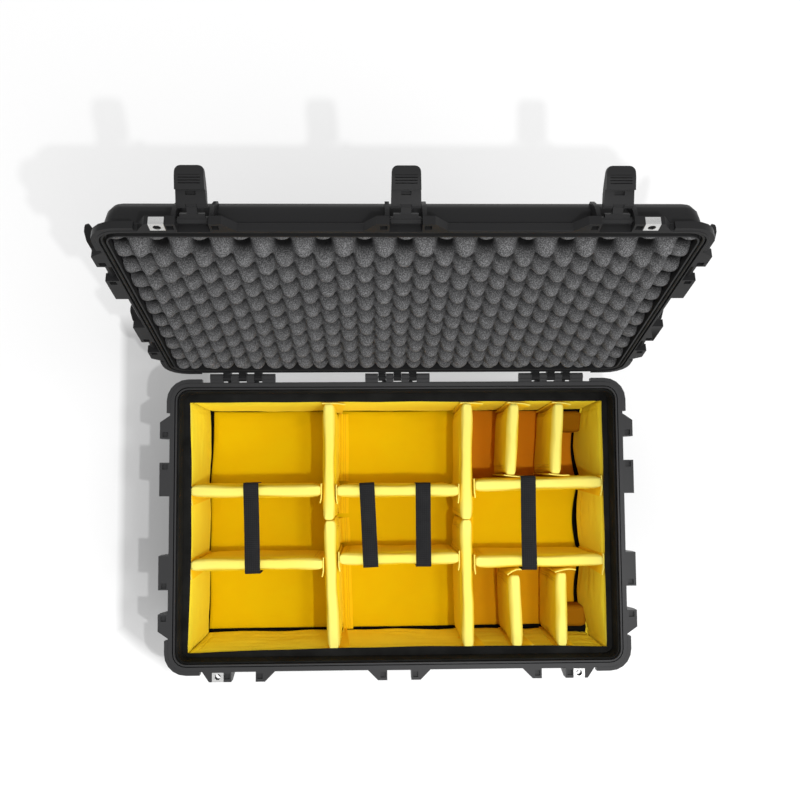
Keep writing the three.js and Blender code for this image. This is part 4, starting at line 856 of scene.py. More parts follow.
@dataclass
class LidFoam:
    """Egg-crate foam: rounded peaks in staggered rows on a slab that fills the lid."""

    finishes: Finishes
    half_x: float = 359.3 * MM
    half_y: float = 219.3 * MM
    corner: float = 15 * MM
    pitch_x: float = 50 * MM
    pitch_y: float = 43 * MM
    step: float = 3.6 * MM
    tip: float = -14 * MM
    valley: float = 24.5 * MM
    wander: float = 1.2 * MM
    wander_rate: float = 55.0
    brim: float = 1.5 * MM
    brim_reach: tuple = (17 * MM, 34 * MM)
    fullness: float = 0.72
    roundness: float = 0.75
    skirt: tuple = ((0.0, 27.5 * MM), (-3.5 * MM, 38 * MM), (-22 * MM, 49 * MM))

    def share(self, x: float, y: float) -> float:
        """How high the foam's face stands at a point of the closed lid, from valley 0 to peak 1."""
        wave = math.cos(2 * math.pi * x / self.pitch_x) * math.cos(2 * math.pi * y / self.pitch_y)
        share = ((1 + wave) / 2) ** self.fullness
        return share * share * (3 - 2 * share) * self.roundness + share * (1 - self.roundness)

    def height(self, x: float, y: float) -> float:
        """How far the foam's face lies over the rim plane at a point of the closed lid."""
        rough = noise.noise(Vector((x, y, 0)) * self.wander_rate) * self.wander
        near, far = self.brim_reach
        edge = min(self.half_x - abs(x), self.half_y - abs(y))
        tip = self.brim + (self.tip - self.brim) * min(1.0, max(0.0, (edge - near) / (far - near)))
        return self.valley + (tip - self.valley) * self.share(x, y) + rough

    def outline_pull(self, point: Vector) -> Vector:
        """Bring a point outside the rounded corners back to them."""
        inner = Vector((self.half_x - self.corner, self.half_y - self.corner))
        over = Vector((abs(point.x) - inner.x, abs(point.y) - inner.y))
        if over.x > 0 and over.y > 0 and over.length > self.corner:
            corner = inner + over.normalized() * self.corner
            return Vector((math.copysign(corner.x, point.x), math.copysign(corner.y, point.y), point.z))
        return point

    def build(self) -> None:
        """Model the slab in the closed lid and turn it open."""
        Bench.clear()
        columns, lines = (round(2 * half / self.step) for half in (self.half_x, self.half_y))
        bpy.ops.mesh.primitive_grid_add(
            x_subdivisions=columns, y_subdivisions=lines, size=2, location=(0, 0, 0))
        piece = Bench.name("egg_crate_foam")
        Bench.scale(piece, (self.half_x, self.half_y, 1))
        lift = []
        for vertex in piece.data.vertices:
            vertex.co = self.outline_pull(vertex.co)
            lift.append(self.share(vertex.co.x, vertex.co.y))
            vertex.co.z = RIM + self.height(vertex.co.x, vertex.co.y)
        self.add_skirt(piece)
        lift += [0.5] * (len(piece.data.vertices) - len(lift))
        # lift, the share of the peak height, also drives the foam's painted valley shade.
        Bench.mark(piece, "lift", lift)
        opened = Matrix.Translation(LID_PIVOT) @ turned(-LID_OPEN, "X")
        Bench.move(piece, opened @ Matrix.Translation(-LID_PIVOT))
        Bench.smooth(piece, 60)
        Bench.finish(piece, self.finishes.foam, Body.LID.value, Slot.FOAM, "lid_foam")

    def add_skirt(self, piece: Piece) -> None:
        """Extrude the slab's edge towards the roof and close its back."""
        with Bench.edit(piece, "DESELECT"):
            bpy.ops.mesh.select_mode(type="EDGE")
            bpy.ops.mesh.select_non_manifold()
        for inset, over in self.skirt:
            with Bench.edit(piece, ""):
                bpy.ops.mesh.extrude_region_move()
            for vertex in piece.data.vertices:
                if vertex.select:
                    vertex.co.z = RIM + over
                    vertex.co.x *= 1 + inset / self.half_x
                    vertex.co.y *= 1 + inset / self.half_y
        with Bench.edit(piece, ""):
            bpy.ops.mesh.edge_face_add()
            bpy.ops.mesh.select_all(action="SELECT")
            bpy.ops.mesh.normals_make_consistent(inside=False)


@dataclass
class Cushion:
    """One padded panel or divider: foam board in sewn cloth, with a bulge simulated as cloth.

    The panel is made about the origin, long along X, thick along Y and high along Z. Rates are features
    of noise per metre.
    """

    node: str
    name: str
    long: float
    thick: float
    high: float
    centre: Vector
    turn: float = 0.0
    tilt: float = 0.0
    flares: tuple = (0.0, 0.0)
    finish: str = "yellow"
    stitched: bool = True
    replaces: bool = True
    belly: float = 0.0
    belly_phase: float = 0.0
    voxel: float = 5 * MM
    pressure: float = 4.0
    stiffness: float = 15.0
    frames: int = 20
    cap: float = 5 * MM
    shrink: float = 1.6 * MM
    roundness: float = 0.2
    face_share: float = 0.8
    waves: float = 1.5 * MM
    wave_rate: float = 16.0
    creases: float = 1.0 * MM
    crease_rates: tuple = (20.0, 60.0)
    crease_level: float = 3.0
    sag: float = 1.6 * MM
    sag_share: float = 0.6
    sag_rate: float = 9.0
    bow: float = 0.0
    groove: float = 0.9 * MM
    groove_at: float = 12.5 * MM
    groove_wide: float = 2.6 * MM
    yellow_lip: float = 3 * MM
    lip_wander: float = 0.8 * MM
    lip_rate: float = 14.0
    seed_rate: float = 37.0
    crisp: tuple = (1.0 * MM, 0.0, 1.2 * MM)
    outline: Callable[[Vector], Vector] | None = None

    def matrix(self) -> Matrix:
        """Place of the panel: leant on its own axis, then turned and moved."""
        return Matrix.Translation(self.centre) @ turned(self.turn) @ turned(self.tilt, "X")

    def half(self) -> Vector:
        """Half of the panel's size."""
        return Vector((self.long, self.thick, self.high)) / 2

    def flare(self, along: float, up: float) -> float:
        """How far the panel's end is pulled in where it follows a leaning wall.

        Args:
            along: Place along the panel, from -1 to 1.
            up: Height on it, from -1 to 1.

        Returns:
            The shift along X, none at the top.
        """
        reach = self.flares[0 if along < 0 else 1] * (1 - up) * max(0.0, abs(along) * 2 - 1)
        return -math.copysign(reach, along)

    def blank(self) -> Piece:
        """Model the unstuffed panel about the origin."""
        piece = Bench.box(self.name, Vector((0, 0, 0)), 2 * self.half() - Vector((self.shrink,) * 3))
        width = min(self.thick, self.high) * self.roundness
        Bench.modify(piece, "BEVEL", width=width, segments=3, limit_method="NONE")
        return piece

    def stuff(self, piece: Piece) -> None:
        """Puff the panel up with a short cloth simulation and keep its shape."""
        piece.data.remesh_voxel_size = self.voxel
        Bench.take(piece)
        bpy.ops.object.voxel_remesh()
        before = [vertex.co.copy() for vertex in piece.data.vertices]
        cloth = piece.modifiers.new("cloth", "CLOTH")
        cloth.settings.use_pressure = True
        cloth.settings.uniform_pressure_force = self.pressure
        cloth.settings.effector_weights.gravity = 0
        cloth.settings.tension_stiffness = cloth.settings.compression_stiffness = self.stiffness
        cloth.point_cache.frame_start = 1
        cloth.point_cache.frame_end = self.frames
        scene = bpy.context.scene
        for step in range(1, self.frames + 1):
            scene.frame_set(step)
        bpy.ops.object.modifier_apply(modifier=cloth.name)
        scene.frame_set(1)
        for vertex, start in zip(piece.data.vertices, before):
            shift = vertex.co - start
            if shift.length > self.cap:
                vertex.co = start + shift.normalized() * self.cap

    def fill(self, piece: Piece) -> None:
        """Stretch the stuffed panel so that it fills its space from side to side."""
        half = self.half()
        for axis in range(3):
            reach = max(abs(vertex.co[axis]) for vertex in piece.data.vertices)
            for vertex in piece.data.vertices:
                vertex.co[axis] *= (half[axis] + self.crisp[axis]) / reach

    def dress(self, piece: Piece) -> None:
        """Hold the panel in its own space, sew its groove, crease and sag it, and mark its hem and back."""
        half = self.half()
        seed = Vector((self.centre.x, self.centre.y, 0)) * self.seed_rate
        along_rate, up_rate = self.crease_rates
        hems = []
        backs = []
        for vertex in piece.data.vertices:
            place = vertex.co
            for axis in range(3):
                place[axis] = max(-half[axis], min(half[axis], place[axis]))
            along, up = place.x / half.x, place.z / half.z
            hem = min(half.x - abs(place.x), half.z - abs(place.z))
            hems.append(hem if self.stitched else half.x)
            wobble = noise.noise(Vector((place.x * self.lip_rate, 0, 0)) + seed) * self.lip_wander
            backs.append(min(place.y + half.y - self.yellow_lip, place.z - half.z + self.yellow_lip) - wobble)
            face = min(1.0, abs(place.y) / (half.y * self.face_share))
            sunk = self.groove * math.exp(-((hem - self.groove_at) / self.groove_wide) ** 2) * face
            broad = noise.noise(place * self.wave_rate + seed) * self.waves
            crease = Vector((place.x * along_rate, self.crease_level, place.z * up_rate))
            fold = noise.noise(crease + seed) * self.creases
            place.y += (broad + fold) * face - math.copysign(sunk, place.y)
            place.y += self.bow * (1 - along * along)
            slack = self.sag_share + noise.noise(seed * 3 + place * self.sag_rate)
            place.z -= self.sag * (1 - along * along) * max(0.0, up) * slack
            place.y = max(-half.y - abs(self.bow), min(half.y + abs(self.bow), place.y))
            wave = abs(math.cos(math.pi * (place.x - self.belly_phase) / BAY_PITCH))
            place.y -= self.belly * wave * (1 - up) / 2 * (0.5 - place.y / self.thick)
            place.z = min(half.z, place.z)
            place.x += self.flare(along, up)
            if self.outline:
                vertex.co = self.outline(place)
        Bench.mark(piece, "hem", hems)
        if self.finish == "backed":
            Bench.mark(piece, "wallward", backs)

    def clear_wells(self, piece: Piece) -> None:
        """Keep the right panel, the floor pad and the caps out of the wheel wells' room."""
        corners = [vertex.co for vertex in piece.data.vertices]
        if "well_cap" in self.name:
            middle = (WELL_HIGH + WELL_LOW) / 2
            middle.y *= -1 if "front" in self.name else 1
            room = Bench.box("well_room", middle, WELL_HIGH - WELL_LOW)
            Bench.modify(piece, "BOOLEAN", operation="DIFFERENCE", object=room, solver="EXACT")
            bpy.data.objects.remove(room, do_unlink=True)
        elif self.name == "padded_wall_right":
            foot = min(place.z for place in corners)
            top = WELL_HIGH.z + WELL_SQUEEZE
            for place in corners:
                if abs(place.y) > WELL_LOW.y and place.z < top:
                    place.z = WELL_HIGH.z + WELL_SQUEEZE * (place.z - foot) / (top - foot)
        elif self.name == "padded_floor":
            edge = max(place.x for place in corners)
            start = WELL_LOW.x - WELL_SQUEEZE
            for place in corners:
                if abs(place.y) > WELL_LOW.y and place.x > start:
                    place.x = start + WELL_SQUEEZE * (place.x - start) / (edge - start)

    def build(self, finishes: Finishes) -> Piece:
        """Model, stuff and place the panel.

        Args:
            finishes: Where its cloth comes from.

        Returns:
            The finished piece.
        """
        piece = self.blank()
        self.stuff(piece)
        Bench.modify(piece, "SUBSURF", levels=1, render_levels=1)
        self.fill(piece)
        self.dress(piece)
        Bench.move(piece, self.matrix())
        self.clear_wells(piece)
        Bench.smooth(piece, 80)
        nodes = (self.node,) if self.replaces else ()
        Bench.finish(piece, getattr(finishes, self.finish), Body.CASE.value, Slot.CLOTH, *nodes)
        return piece


@dataclass
class HookFlap:
    """Thin cloth flap at a divider's end: it grips the neighbour's face and stands out to one side."""

    panel: Cushion
    end: int
    over: float
    gap: float = 0.0
    thick: float = 1.9 * MM
    foot: float = 6 * MM
    head: float = 3 * MM
    steps: int = 9
    spring: float = 2.2
    curl: float = 1.2 * MM
    curl_share: float = 0.3
    taper: float = 0.7
    ruffle: float = 2.2 * MM
    ruffle_rate: float = 30.0
    hang: float = 3 * MM
    fray: float = 1.2 * MM
    fray_rate: float = 22.0
    seed_rate: float = 53.0

    def path(self) -> list[Vector]:
        """Points across the divider's end, from its far side to the flap's free edge."""
        half = self.panel.half()
        reach = half.x + self.gap + FLAP_ROOM - self.thick / 2
        points = []
        for step in range(self.steps + 1):
            share = step / self.steps
            back = self.gap * (1 - share) ** self.spring
            lift = self.curl * max(0.0, share - 1 + self.curl_share) / self.curl_share
            across = half.y - (2 * half.y + self.over) * share
            points.append(Vector((self.end * (reach - back - lift), across, 0)))
        return points

    def build(self, index: int) -> Piece:
        """Extrude the flap's upright edge along its path, crease it and give it thickness."""
        half = self.panel.half()
        low = -half.z + self.foot
        high = half.z - self.head
        middle = Vector((0, 0, (high + low) / 2))
        points = [point + middle for point in self.path()]
        piece = Bench.ribbon(f"hook_flap_{index:02d}", points, Vector((0, 0, high - low)))
        with Bench.edit(piece):
            bpy.ops.mesh.subdivide(number_cuts=3)
        seed = Vector((self.panel.centre.x, self.panel.centre.y, self.end)) * self.seed_rate
        for vertex in piece.data.vertices:
            place = vertex.co
            free = min(1.0, max(0.0, (-half.y - place.y) / max(self.over, MM)))
            place.y += free * self.over * self.taper * (1 - place.z / half.z) / 2
            place.x -= self.end * abs(noise.noise(place * self.ruffle_rate + seed)) * self.ruffle * free
            place.z += noise.noise(place * self.fray_rate + seed) * self.fray - free * self.hang
            place.x += self.panel.flare(self.end, place.z / half.z)
        Bench.modify(piece, "SOLIDIFY", thickness=self.thick, offset=0)
        Bench.soften(piece, HEM_ROUND, HEM_ANGLE)
        Bench.mark(piece, "hem", [half.z + self.over] * len(piece.data.vertices))
        Bench.move(piece, self.panel.matrix())
        Bench.smooth(piece, HEM_ANGLE)
        return piece


@dataclass
class FootFlap:
    """Hem strip at a divider's foot: it turns from the divider's face out over the floor pad."""

    panel: Cushion
    low: float
    high: float
    rise: float = 15 * MM
    width: float = 17 * MM
    thick: float = 1.3 * MM
    face_gap: float = 0.4 * MM
    floor_gap: float = 1.0 * MM
    steps: int = 8
    edge_wave: float = 1.2 * MM
    edge_rate: float = 25.0
    seed_rate: float = 90.0
    ripple: float = 0.8 * MM
    ripple_rate: float = 30.0
    hem_scale: float = 1.2
    hem_start: float = 4 * MM

    def path(self) -> list[Vector]:
        """Points from the divider's face down and out over the floor."""
        half = self.panel.half()
        points = []
        for step in range(self.steps + 1):
            angle = HALF_CIRCLE * step / self.steps
            out = self.face_gap + self.rise * 0.5 * (1 - math.cos(angle))
            up = self.floor_gap + self.rise * (1 - math.sin(angle))
            points.append(Vector((0, -half.y - out, up - half.z)))
        points.append(points[-1] - Vector((0, self.width - self.rise * 0.5, 0)))
        return points

    def build(self, label: str) -> Piece:
        """Extrude the strip, mark its stitched rows and give it thickness."""
        middle = Vector(((self.low + self.high) / 2 - self.panel.centre.y, 0, 0))
        across = Vector((self.high - self.low, 0, 0))
        piece = Bench.ribbon(f"foot_flap_{label}", [point + middle for point in self.path()], across)
        with Bench.edit(piece):
            bpy.ops.mesh.subdivide(number_cuts=4)
        edge = -self.panel.half().y - self.width
        for vertex in piece.data.vertices:
            place = vertex.co
            wave = Vector((place.x * self.edge_rate, self.low * self.seed_rate, 0))
            place.y += noise.noise(wave) * self.edge_wave
            ripple = noise.noise(Vector((place.x * self.ripple_rate, place.y * self.ripple_rate, 4)))
            place.z += abs(ripple) * self.ripple
        Bench.modify(piece, "SOLIDIFY", thickness=self.thick, offset=0)
        hems = [(vertex.co.y - edge) * self.hem_scale + self.hem_start for vertex in piece.data.vertices]
        Bench.mark(piece, "hem", hems)
        Bench.move(piece, self.panel.matrix())
        Bench.smooth(piece, HEM_ANGLE)
        return piece


@dataclass(frozen=True)
class Fit:
    """How one wall panel or divider stands in the tub.

    A gap is at one end of a short divider, where its flap reaches over by its own length. Feet are the
    stretches along Y that have a hem strip.
    """

    thick: float = 0.0
    turn: float = 0.0
    skew: float = 0.0
    bow: float = 0.0
    belly: float = 0.0
    gap_end: int = 0
    gap: float = 0.0
    over: float = 0.0
    wall_flap: float = 17 * MM
    feet: tuple = ()


WALLS = {
    "liner_left": Fit(thick=11.4 * MM, turn=90.0, bow=-1.5 * MM, belly=2.5 * MM),
    "liner_right": Fit(thick=11.4 * MM, turn=-90.0, belly=11 * MM),
    "liner_front": Fit(thick=9.4 * MM, turn=180.0, bow=-2.5 * MM, belly=1.5 * MM),
    "liner_back": Fit(thick=16.6 * MM),
}
DIVIDERS = {
    "cross_divider_back_left": Fit(bow=-0.8 * MM),
    "cross_divider_back_middle": Fit(bow=0.7 * MM),
    "cross_divider_back_right": Fit(skew=1.09),
    "cross_divider_front_left": Fit(bow=0.9 * MM),
    "cross_divider_front_middle": Fit(bow=-0.9 * MM),
    "divider_left_back": Fit(bow=-0.8 * MM, feet=((9 * MM, 40 * MM), (69 * MM, 194 * MM))),
    "divider_left_front": Fit(skew=1.73, feet=((-203 * MM, -74 * MM), (-45 * MM, 1 * MM))),
    "divider_right_back": Fit(skew=-0.8, feet=((9 * MM, 48 * MM),)),
    "divider_right_front": Fit(skew=0.48, bow=0.8 * MM, feet=((-51 * MM, 1 * MM),)),
    "short_divider_back_1": Fit(skew=-3.5, gap=1.5 * MM, over=13 * MM),
    "short_divider_back_2": Fit(skew=-3.5, gap=1.5 * MM, over=13 * MM, wall_flap=11 * MM),
    "short_divider_front_1": Fit(skew=1.77, gap_end=1, gap=9 * MM, over=2 * MM),
    "short_divider_front_2": Fit(skew=-1.0, gap_end=1, gap=6 * MM, over=13 * MM, wall_flap=11 * MM),
}


@dataclass
class DividerSet:
    """The liner's wall panels, its floor pad and the dividers that stand between them."""

    finishes: Finishes
    lean: float = 2.34
    wall_x: float = 300 * MM
    wall_y: float = 190 * MM
    flare: float = 3.5 * MM
    side_reach: float = 9.5 * MM
    cross_flap: float = 10 * MM
    long_flap: float = 13 * MM
    panel_drop: float = 3.3 * MM
    spread: float = 7.1 * MM
    pad_half: Vector = field(default_factory=Vector)
    pad_right: tuple = (2.5 * MM, 10.5 * MM)
    pad_left: float = 2 * MM
    pad_wedge: tuple = (0.35, 10 * MM)
    pad_back: tuple = (0.2 * MM, 2.4 * MM)
    pad_front: tuple = (0.5 * MM, 22.0)

    def wall_ends(self, middle: Vector, long: float, lengthwise: bool) -> tuple[bool, bool]:
        """Whether each end of a divider, the low one first, stands against a wall panel."""
        place, wall = (middle.x, self.wall_x) if lengthwise else (middle.y, self.wall_y)
        return place - long / 2 < -wall, place + long / 2 > wall

    def upright(self, node: str) -> tuple[Cushion, list[HookFlap]]:
        """One divider and the flaps at its ends.

        Args:
            node: Its CAD node.

        Returns:
            The divider and its flaps, not yet built.
        """
        fit = DIVIDERS.get(node, Fit())
        low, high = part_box(node)
        lengthwise = high.x - low.x > high.y - low.y
        turn = (0.0 if lengthwise else 90.0) + fit.skew
        low, high = turned_box(node, turn)
        middle, size = turned(turn) @ ((low + high) / 2), high - low
        walls = self.wall_ends(middle, size.x, lengthwise)
        meets = (True, True) if lengthwise or "short" in node else walls
        trims = [FLAP_ROOM if met else 0.0 for met in meets]
        trims[fit.gap_end] += fit.gap
        shift = turned(turn) @ Vector(((trims[0] - trims[1]) / 2, 0, 0))
        panel = Cushion(
            node=node, name=f"padded_{node}", long=size.x - sum(trims), thick=size.y, high=size.z,
            centre=middle + shift, turn=turn, bow=fit.bow,
            flares=tuple(self.flare if wall else 0.0 for wall in walls))
        flaps = []
        for index, met in enumerate(meets):
            if met:
                width = self.cross_flap
                if walls[index]:
                    width = self.long_flap if lengthwise else fit.wall_flap
                loose = index == fit.gap_end
                if loose and fit.over:
                    width = fit.over
                gap = fit.gap if loose else 0.0
                flaps.append(HookFlap(panel=panel, end=(-1, 1)[index], over=width, gap=gap))
        return panel, flaps

    def floor_outline(self, place: Vector) -> Vector:
        """Bring the floor pad's edge in from the panels, more where their feet swell and in two corners.

        The pad is made with its length along X and its width along Z.
        """
        half = self.pad_half
        ends = abs(math.cos(math.pi * (place.z - BAY_PHASE) / BAY_PITCH))
        right = self.pad_right[0] + self.pad_right[1] * ends
        wedge = max(0.0, -place.z / half.y - self.pad_wedge[0]) * self.pad_wedge[1]
        left = self.pad_left * ends + wedge
        back = self.pad_back[0] + self.pad_back[1] * max(0.0, place.x / half.x)
        front = self.pad_front[0] * (1 + math.cos(place.x * self.pad_front[1]))
        out = place.copy()
        out.x *= 1 - (right if place.x > 0 else left) / half.x
        out.z *= 1 - (back if place.z > 0 else front) / half.y
        return out

    def wall_panel(self, node: str, fit: Fit) -> Cushion:
        """One wall panel, wider at its top so that it meets its neighbours along the leaning corners.

        Args:
            node: Its CAD node.
            fit: How it stands.

        Returns:
            The panel, not yet built.
        """
        low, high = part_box(node)
        centre = (low + high) / 2
        if node == "liner_right":
            left_low, left_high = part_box("liner_left")
            centre.x = -(left_low.x + left_high.x) / 2
        tilt = math.radians(self.lean)
        high_along = (high.z - low.z - self.panel_drop - fit.thick * math.sin(tilt)) / math.cos(tilt)
        centre.z -= self.panel_drop / 2
        first = second = self.spread / 2
        long = high.x - low.x + 2 * self.spread
        if node in ("liner_left", "liner_right"):
            first, second = (first, 0.0) if node == "liner_left" else (0.0, second)
            centre.y -= self.side_reach / 2
            long = high.y - low.y + self.side_reach
        return Cushion(
            node=node, name=node.replace("liner", "padded_wall"), long=long, thick=fit.thick, high=high_along,
            centre=centre, turn=fit.turn, tilt=-self.lean, finish="backed", stitched=False, sag=0.0,
            crisp=(4 * MM, 0.0, 1.5 * MM), bow=fit.bow, flares=(first, second), belly=fit.belly,
            belly_phase=BAY_PHASE if node == "liner_left" else -BAY_PHASE)

    def panels(self) -> list[Cushion]:
        """Wall panels that lean with the walls, the floor pad and the caps over the wheel wells."""
        found = [self.wall_panel(node, fit) for node, fit in WALLS.items()]
        low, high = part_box("liner_floor")
        size = high - low
        self.pad_half = size / 2
        found.append(Cushion(
            node="liner_floor", name="padded_floor", long=size.x, thick=size.z, high=size.y,
            centre=(low + high) / 2, tilt=90.0, voxel=6 * MM, sag=0.0, groove=0.0, finish="floor",
            stitched=False, outline=self.floor_outline))
        low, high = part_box("liner_right")
        size = WELL_CAP_SIZE
        for side, label in ((-1, "front"), (1, "back")):
            centre = Vector((low.x + size.x / 2, side * WELL_CAP_MIDDLE, WELL_CAP_FOOT + size.z / 2))
            found.append(Cushion(
                node="liner_right", name=f"padded_well_cap_{label}", long=size.x, thick=size.y, high=size.z,
                centre=centre, replaces=False, roundness=0.22, groove=0.0, stitched=False, finish="cap"))
        return found

    def build(self) -> None:
        """Build every padded piece and its flaps."""
        for panel in self.panels():
            panel.build(self.finishes)
        count = 0
        for node in sorted(frame["nodes"]):
            if "divider" in node:
                panel, flaps = self.upright(node)
                piece = panel.build(self.finishes)
                sewn = [flap.build(count + index) for index, flap in enumerate(flaps, start=1)]
                count += len(flaps)
                for index, (low, high) in enumerate(DIVIDERS.get(node, Fit()).feet, start=1):
                    sewn.append(FootFlap(panel=panel, low=low, high=high).build(f"{node}_{index}"))
                Bench.join(piece, sewn)


@dataclass
class Collar:
    """Black cloth band between the panels' tops and the rim, soft along its edges."""

    finishes: Finishes
    waves: float = 0.5 * MM
    wave_rate: float = 12.0
    end_x: float = 300 * MM
    end_y: float = 200 * MM

    def build(self) -> None:
        """Take the band's CAD form, divide it, soften its edges and let its faces wander."""
        piece = Bench.copy("liner_collar", "lining_collar")
        Bench.soften(piece, HEM_ROUND, 40)
        with Bench.edit(piece):
            bpy.ops.mesh.tris_convert_to_quads()
            bpy.ops.mesh.subdivide(number_cuts=3)
        for vertex in piece.data.vertices:
            place = vertex.co
            drift = abs(noise.noise(place * self.wave_rate) * self.waves)
            place.x -= math.copysign(drift, place.x) if abs(place.x) > self.end_x else 0
            place.y -= math.copysign(drift, place.y) if abs(place.y) > self.end_y else 0
        Bench.smooth(piece, HEM_ANGLE)
        Bench.finish(piece, self.finishes.lining, Body.CASE.value, Slot.LINING, "liner_collar")
        Bench.join(piece, [LiningBand().build()])


@dataclass
class LiningBand:
    """Black cloth folded over the panels' tops: rounded outside, square with mitred corners inside."""

    outer: tuple = (359.7 * MM, 219.7 * MM)
    inner: tuple = (-349.3 * MM, 349.3 * MM, -211.6 * MM, 204.4 * MM)
    right_front: float = 3.6 * MM
    bow: tuple = (4 * MM, 5 * MM)
    corner: float = 14 * MM
    level: float = 208.9 * MM
    drop: float = 0.5 * MM
    thick: float = 1.2 * MM
    wander: float = 0.9 * MM
    wander_rate: float = 14.0
    start_width: float = 4 * MM
    long_edge: float = 200 * MM
    corner_room: float = 5 * MM
    cuts: int = 40

    def depth(self, place: Vector) -> float:
        """How far a point lies inside the band's rounded outline."""
        over = Vector([abs(place[axis]) - self.outer[axis] + self.corner for axis in (0, 1)])
        beyond = Vector([max(0.0, over[axis]) for axis in (0, 1)])
        return self.corner - beyond.length - min(max(over.x, over.y), 0.0)

    def outline(self) -> Piece:
        """Round a plane's corners, inset it and square the inner edge."""
        Bench.clear()
        bpy.ops.mesh.primitive_plane_add(size=2, location=(0, 0, 0))
        piece = Bench.name("lining_band")
        Bench.scale(piece, (*self.outer, 1))
        with Bench.edit(piece):
            bpy.ops.mesh.bevel(offset=self.corner, segments=8, affect="VERTICES")
            bpy.ops.mesh.select_all(action="SELECT")
            bpy.ops.mesh.inset(thickness=self.start_width)
            bpy.ops.mesh.delete(type="ONLY_FACE")
        left, right, front, back = self.inner
        for vertex in piece.data.vertices:
            if self.depth(vertex.co) > MM:
                ahead = front + (self.right_front if vertex.co.x > 0 else 0)
                side = left if vertex.co.x < 0 else right
                vertex.co = Vector((side, ahead if vertex.co.y < 0 else back, 0))
        with Bench.edit(piece):
            bpy.ops.mesh.remove_doubles(threshold=0.1 * MM)
            bpy.ops.mesh.select_all(action="DESELECT")
        return piece

    def divide(self, piece: Piece) -> None:
        """Divide the band's long edges."""
        for edge in piece.data.edges:
            first, second = (piece.data.vertices[index].co for index in edge.vertices)
            edge.select = (first - second).length > self.long_edge
        with Bench.edit(piece, ""):
            bpy.ops.mesh.select_mode(type="EDGE")
            bpy.ops.mesh.subdivide(number_cuts=self.cuts)
            bpy.ops.mesh.select_all(action="SELECT")
            bpy.ops.mesh.normals_make_consistent(inside=False)

    def build(self) -> Piece:
        """Make the band, let its inner edge sink, wander and bow, and give it thickness."""
        piece = self.outline()
        self.divide(piece)
        left, right, front, back = self.inner
        near = self.corner_room
        for vertex in piece.data.vertices:
            place = vertex.co
            inside = left - MM < place.x < right + MM and front - MM < place.y < back + MM
            place.z = self.level - (self.drop if inside else 0)
            if inside and abs(place.x) < right - near:
                place.y += noise.noise(Vector((place.x * self.wander_rate, place.y, 0))) * self.wander
                place.y += self.bow[1] * (1 - (place.x / right) ** 2) if place.y < 0 else 0
            elif inside and front + near < place.y < back - near:
                place.x += noise.noise(Vector((place.y * self.wander_rate, place.x, 9))) * self.wander
                place.x += self.bow[0] * (1 - (place.y / back) ** 2) if place.x < 0 else 0
        Bench.modify(piece, "SOLIDIFY", thickness=self.thick, offset=0)
        Bench.smooth(piece, HEM_ANGLE)
        return piece


@dataclass
class Straps:
    """Webbing straps over the cross dividers."""

    finishes: Finishes
    thick: float = 1.8 * MM
    sag: float = 2.5 * MM
    corner: float = 4 * MM
    corner_steps: int = 4
    steps: int = 18
    rising: tuple = (0, 0.35, 0.7, 1)
    falling: tuple = (0, 0.3, 0.65, 1)
    skews: tuple = (1.4, 2.6, 0.0, 0.0)

    def path(self, low: Vector, high: Vector) -> list[Vector]:
        """Points in the YZ plane from one leg's end over the top to the other's.

        Args:
            low: The strap's low corner.
            high: Its high corner.

        Returns:
            The middle line of the webbing.
        """
        top = high.z - self.thick / 2
        front = low.y + self.thick / 2
        back = high.y - self.thick / 2
        shoulder = top - self.corner
        bends = []
        for step in range(1, self.corner_steps):
            angle = HALF_CIRCLE * step / self.corner_steps
            bends.append((self.corner * (1 - math.cos(angle)), self.corner * (1 - math.sin(angle))))
        places = [(front, low.z + (shoulder - low.z) * share) for share in self.rising]
        places += [(front + shallow, top - steep) for shallow, steep in bends]
        for step in range(self.steps + 1):
            share = step / self.steps
            across = front + self.corner + (back - front - 2 * self.corner) * share
            places.append((across, top - self.sag * math.sin(math.pi * share) ** 2))
        places += [(back - steep, top - shallow) for shallow, steep in bends]
        places += [(back, shoulder - (shoulder - low.z) * share) for share in self.falling]
        return [Vector((0, *place)) for place in places]

    def build(self) -> None:
        """Extrude each strap's edge along its path, map it, give it thickness and turn it askew."""
        for index, skew in enumerate(self.skews, start=1):
            node = f"strap_{index}"
            low, high = turned_box(node, skew)
            middle = Vector(((low.x + high.x) / 2, 0, 0))
            across = Vector((high.x - low.x, 0, 0))
            points = [point + middle for point in self.path(low, high)]
            piece = Bench.ribbon(f"webbing_strap_{index}", points, across)
            Bench.modify(piece, "SOLIDIFY", thickness=self.thick, offset=0)
            Bench.soften(piece, HEM_ROUND, HEM_ANGLE)
            Bench.move(piece, turned(skew))
            Bench.smooth(piece, 40)
            piece.visible_shadow = False
            Bench.finish(piece, self.finishes.webbing, Body.CASE.value, Slot.STRAP, node)


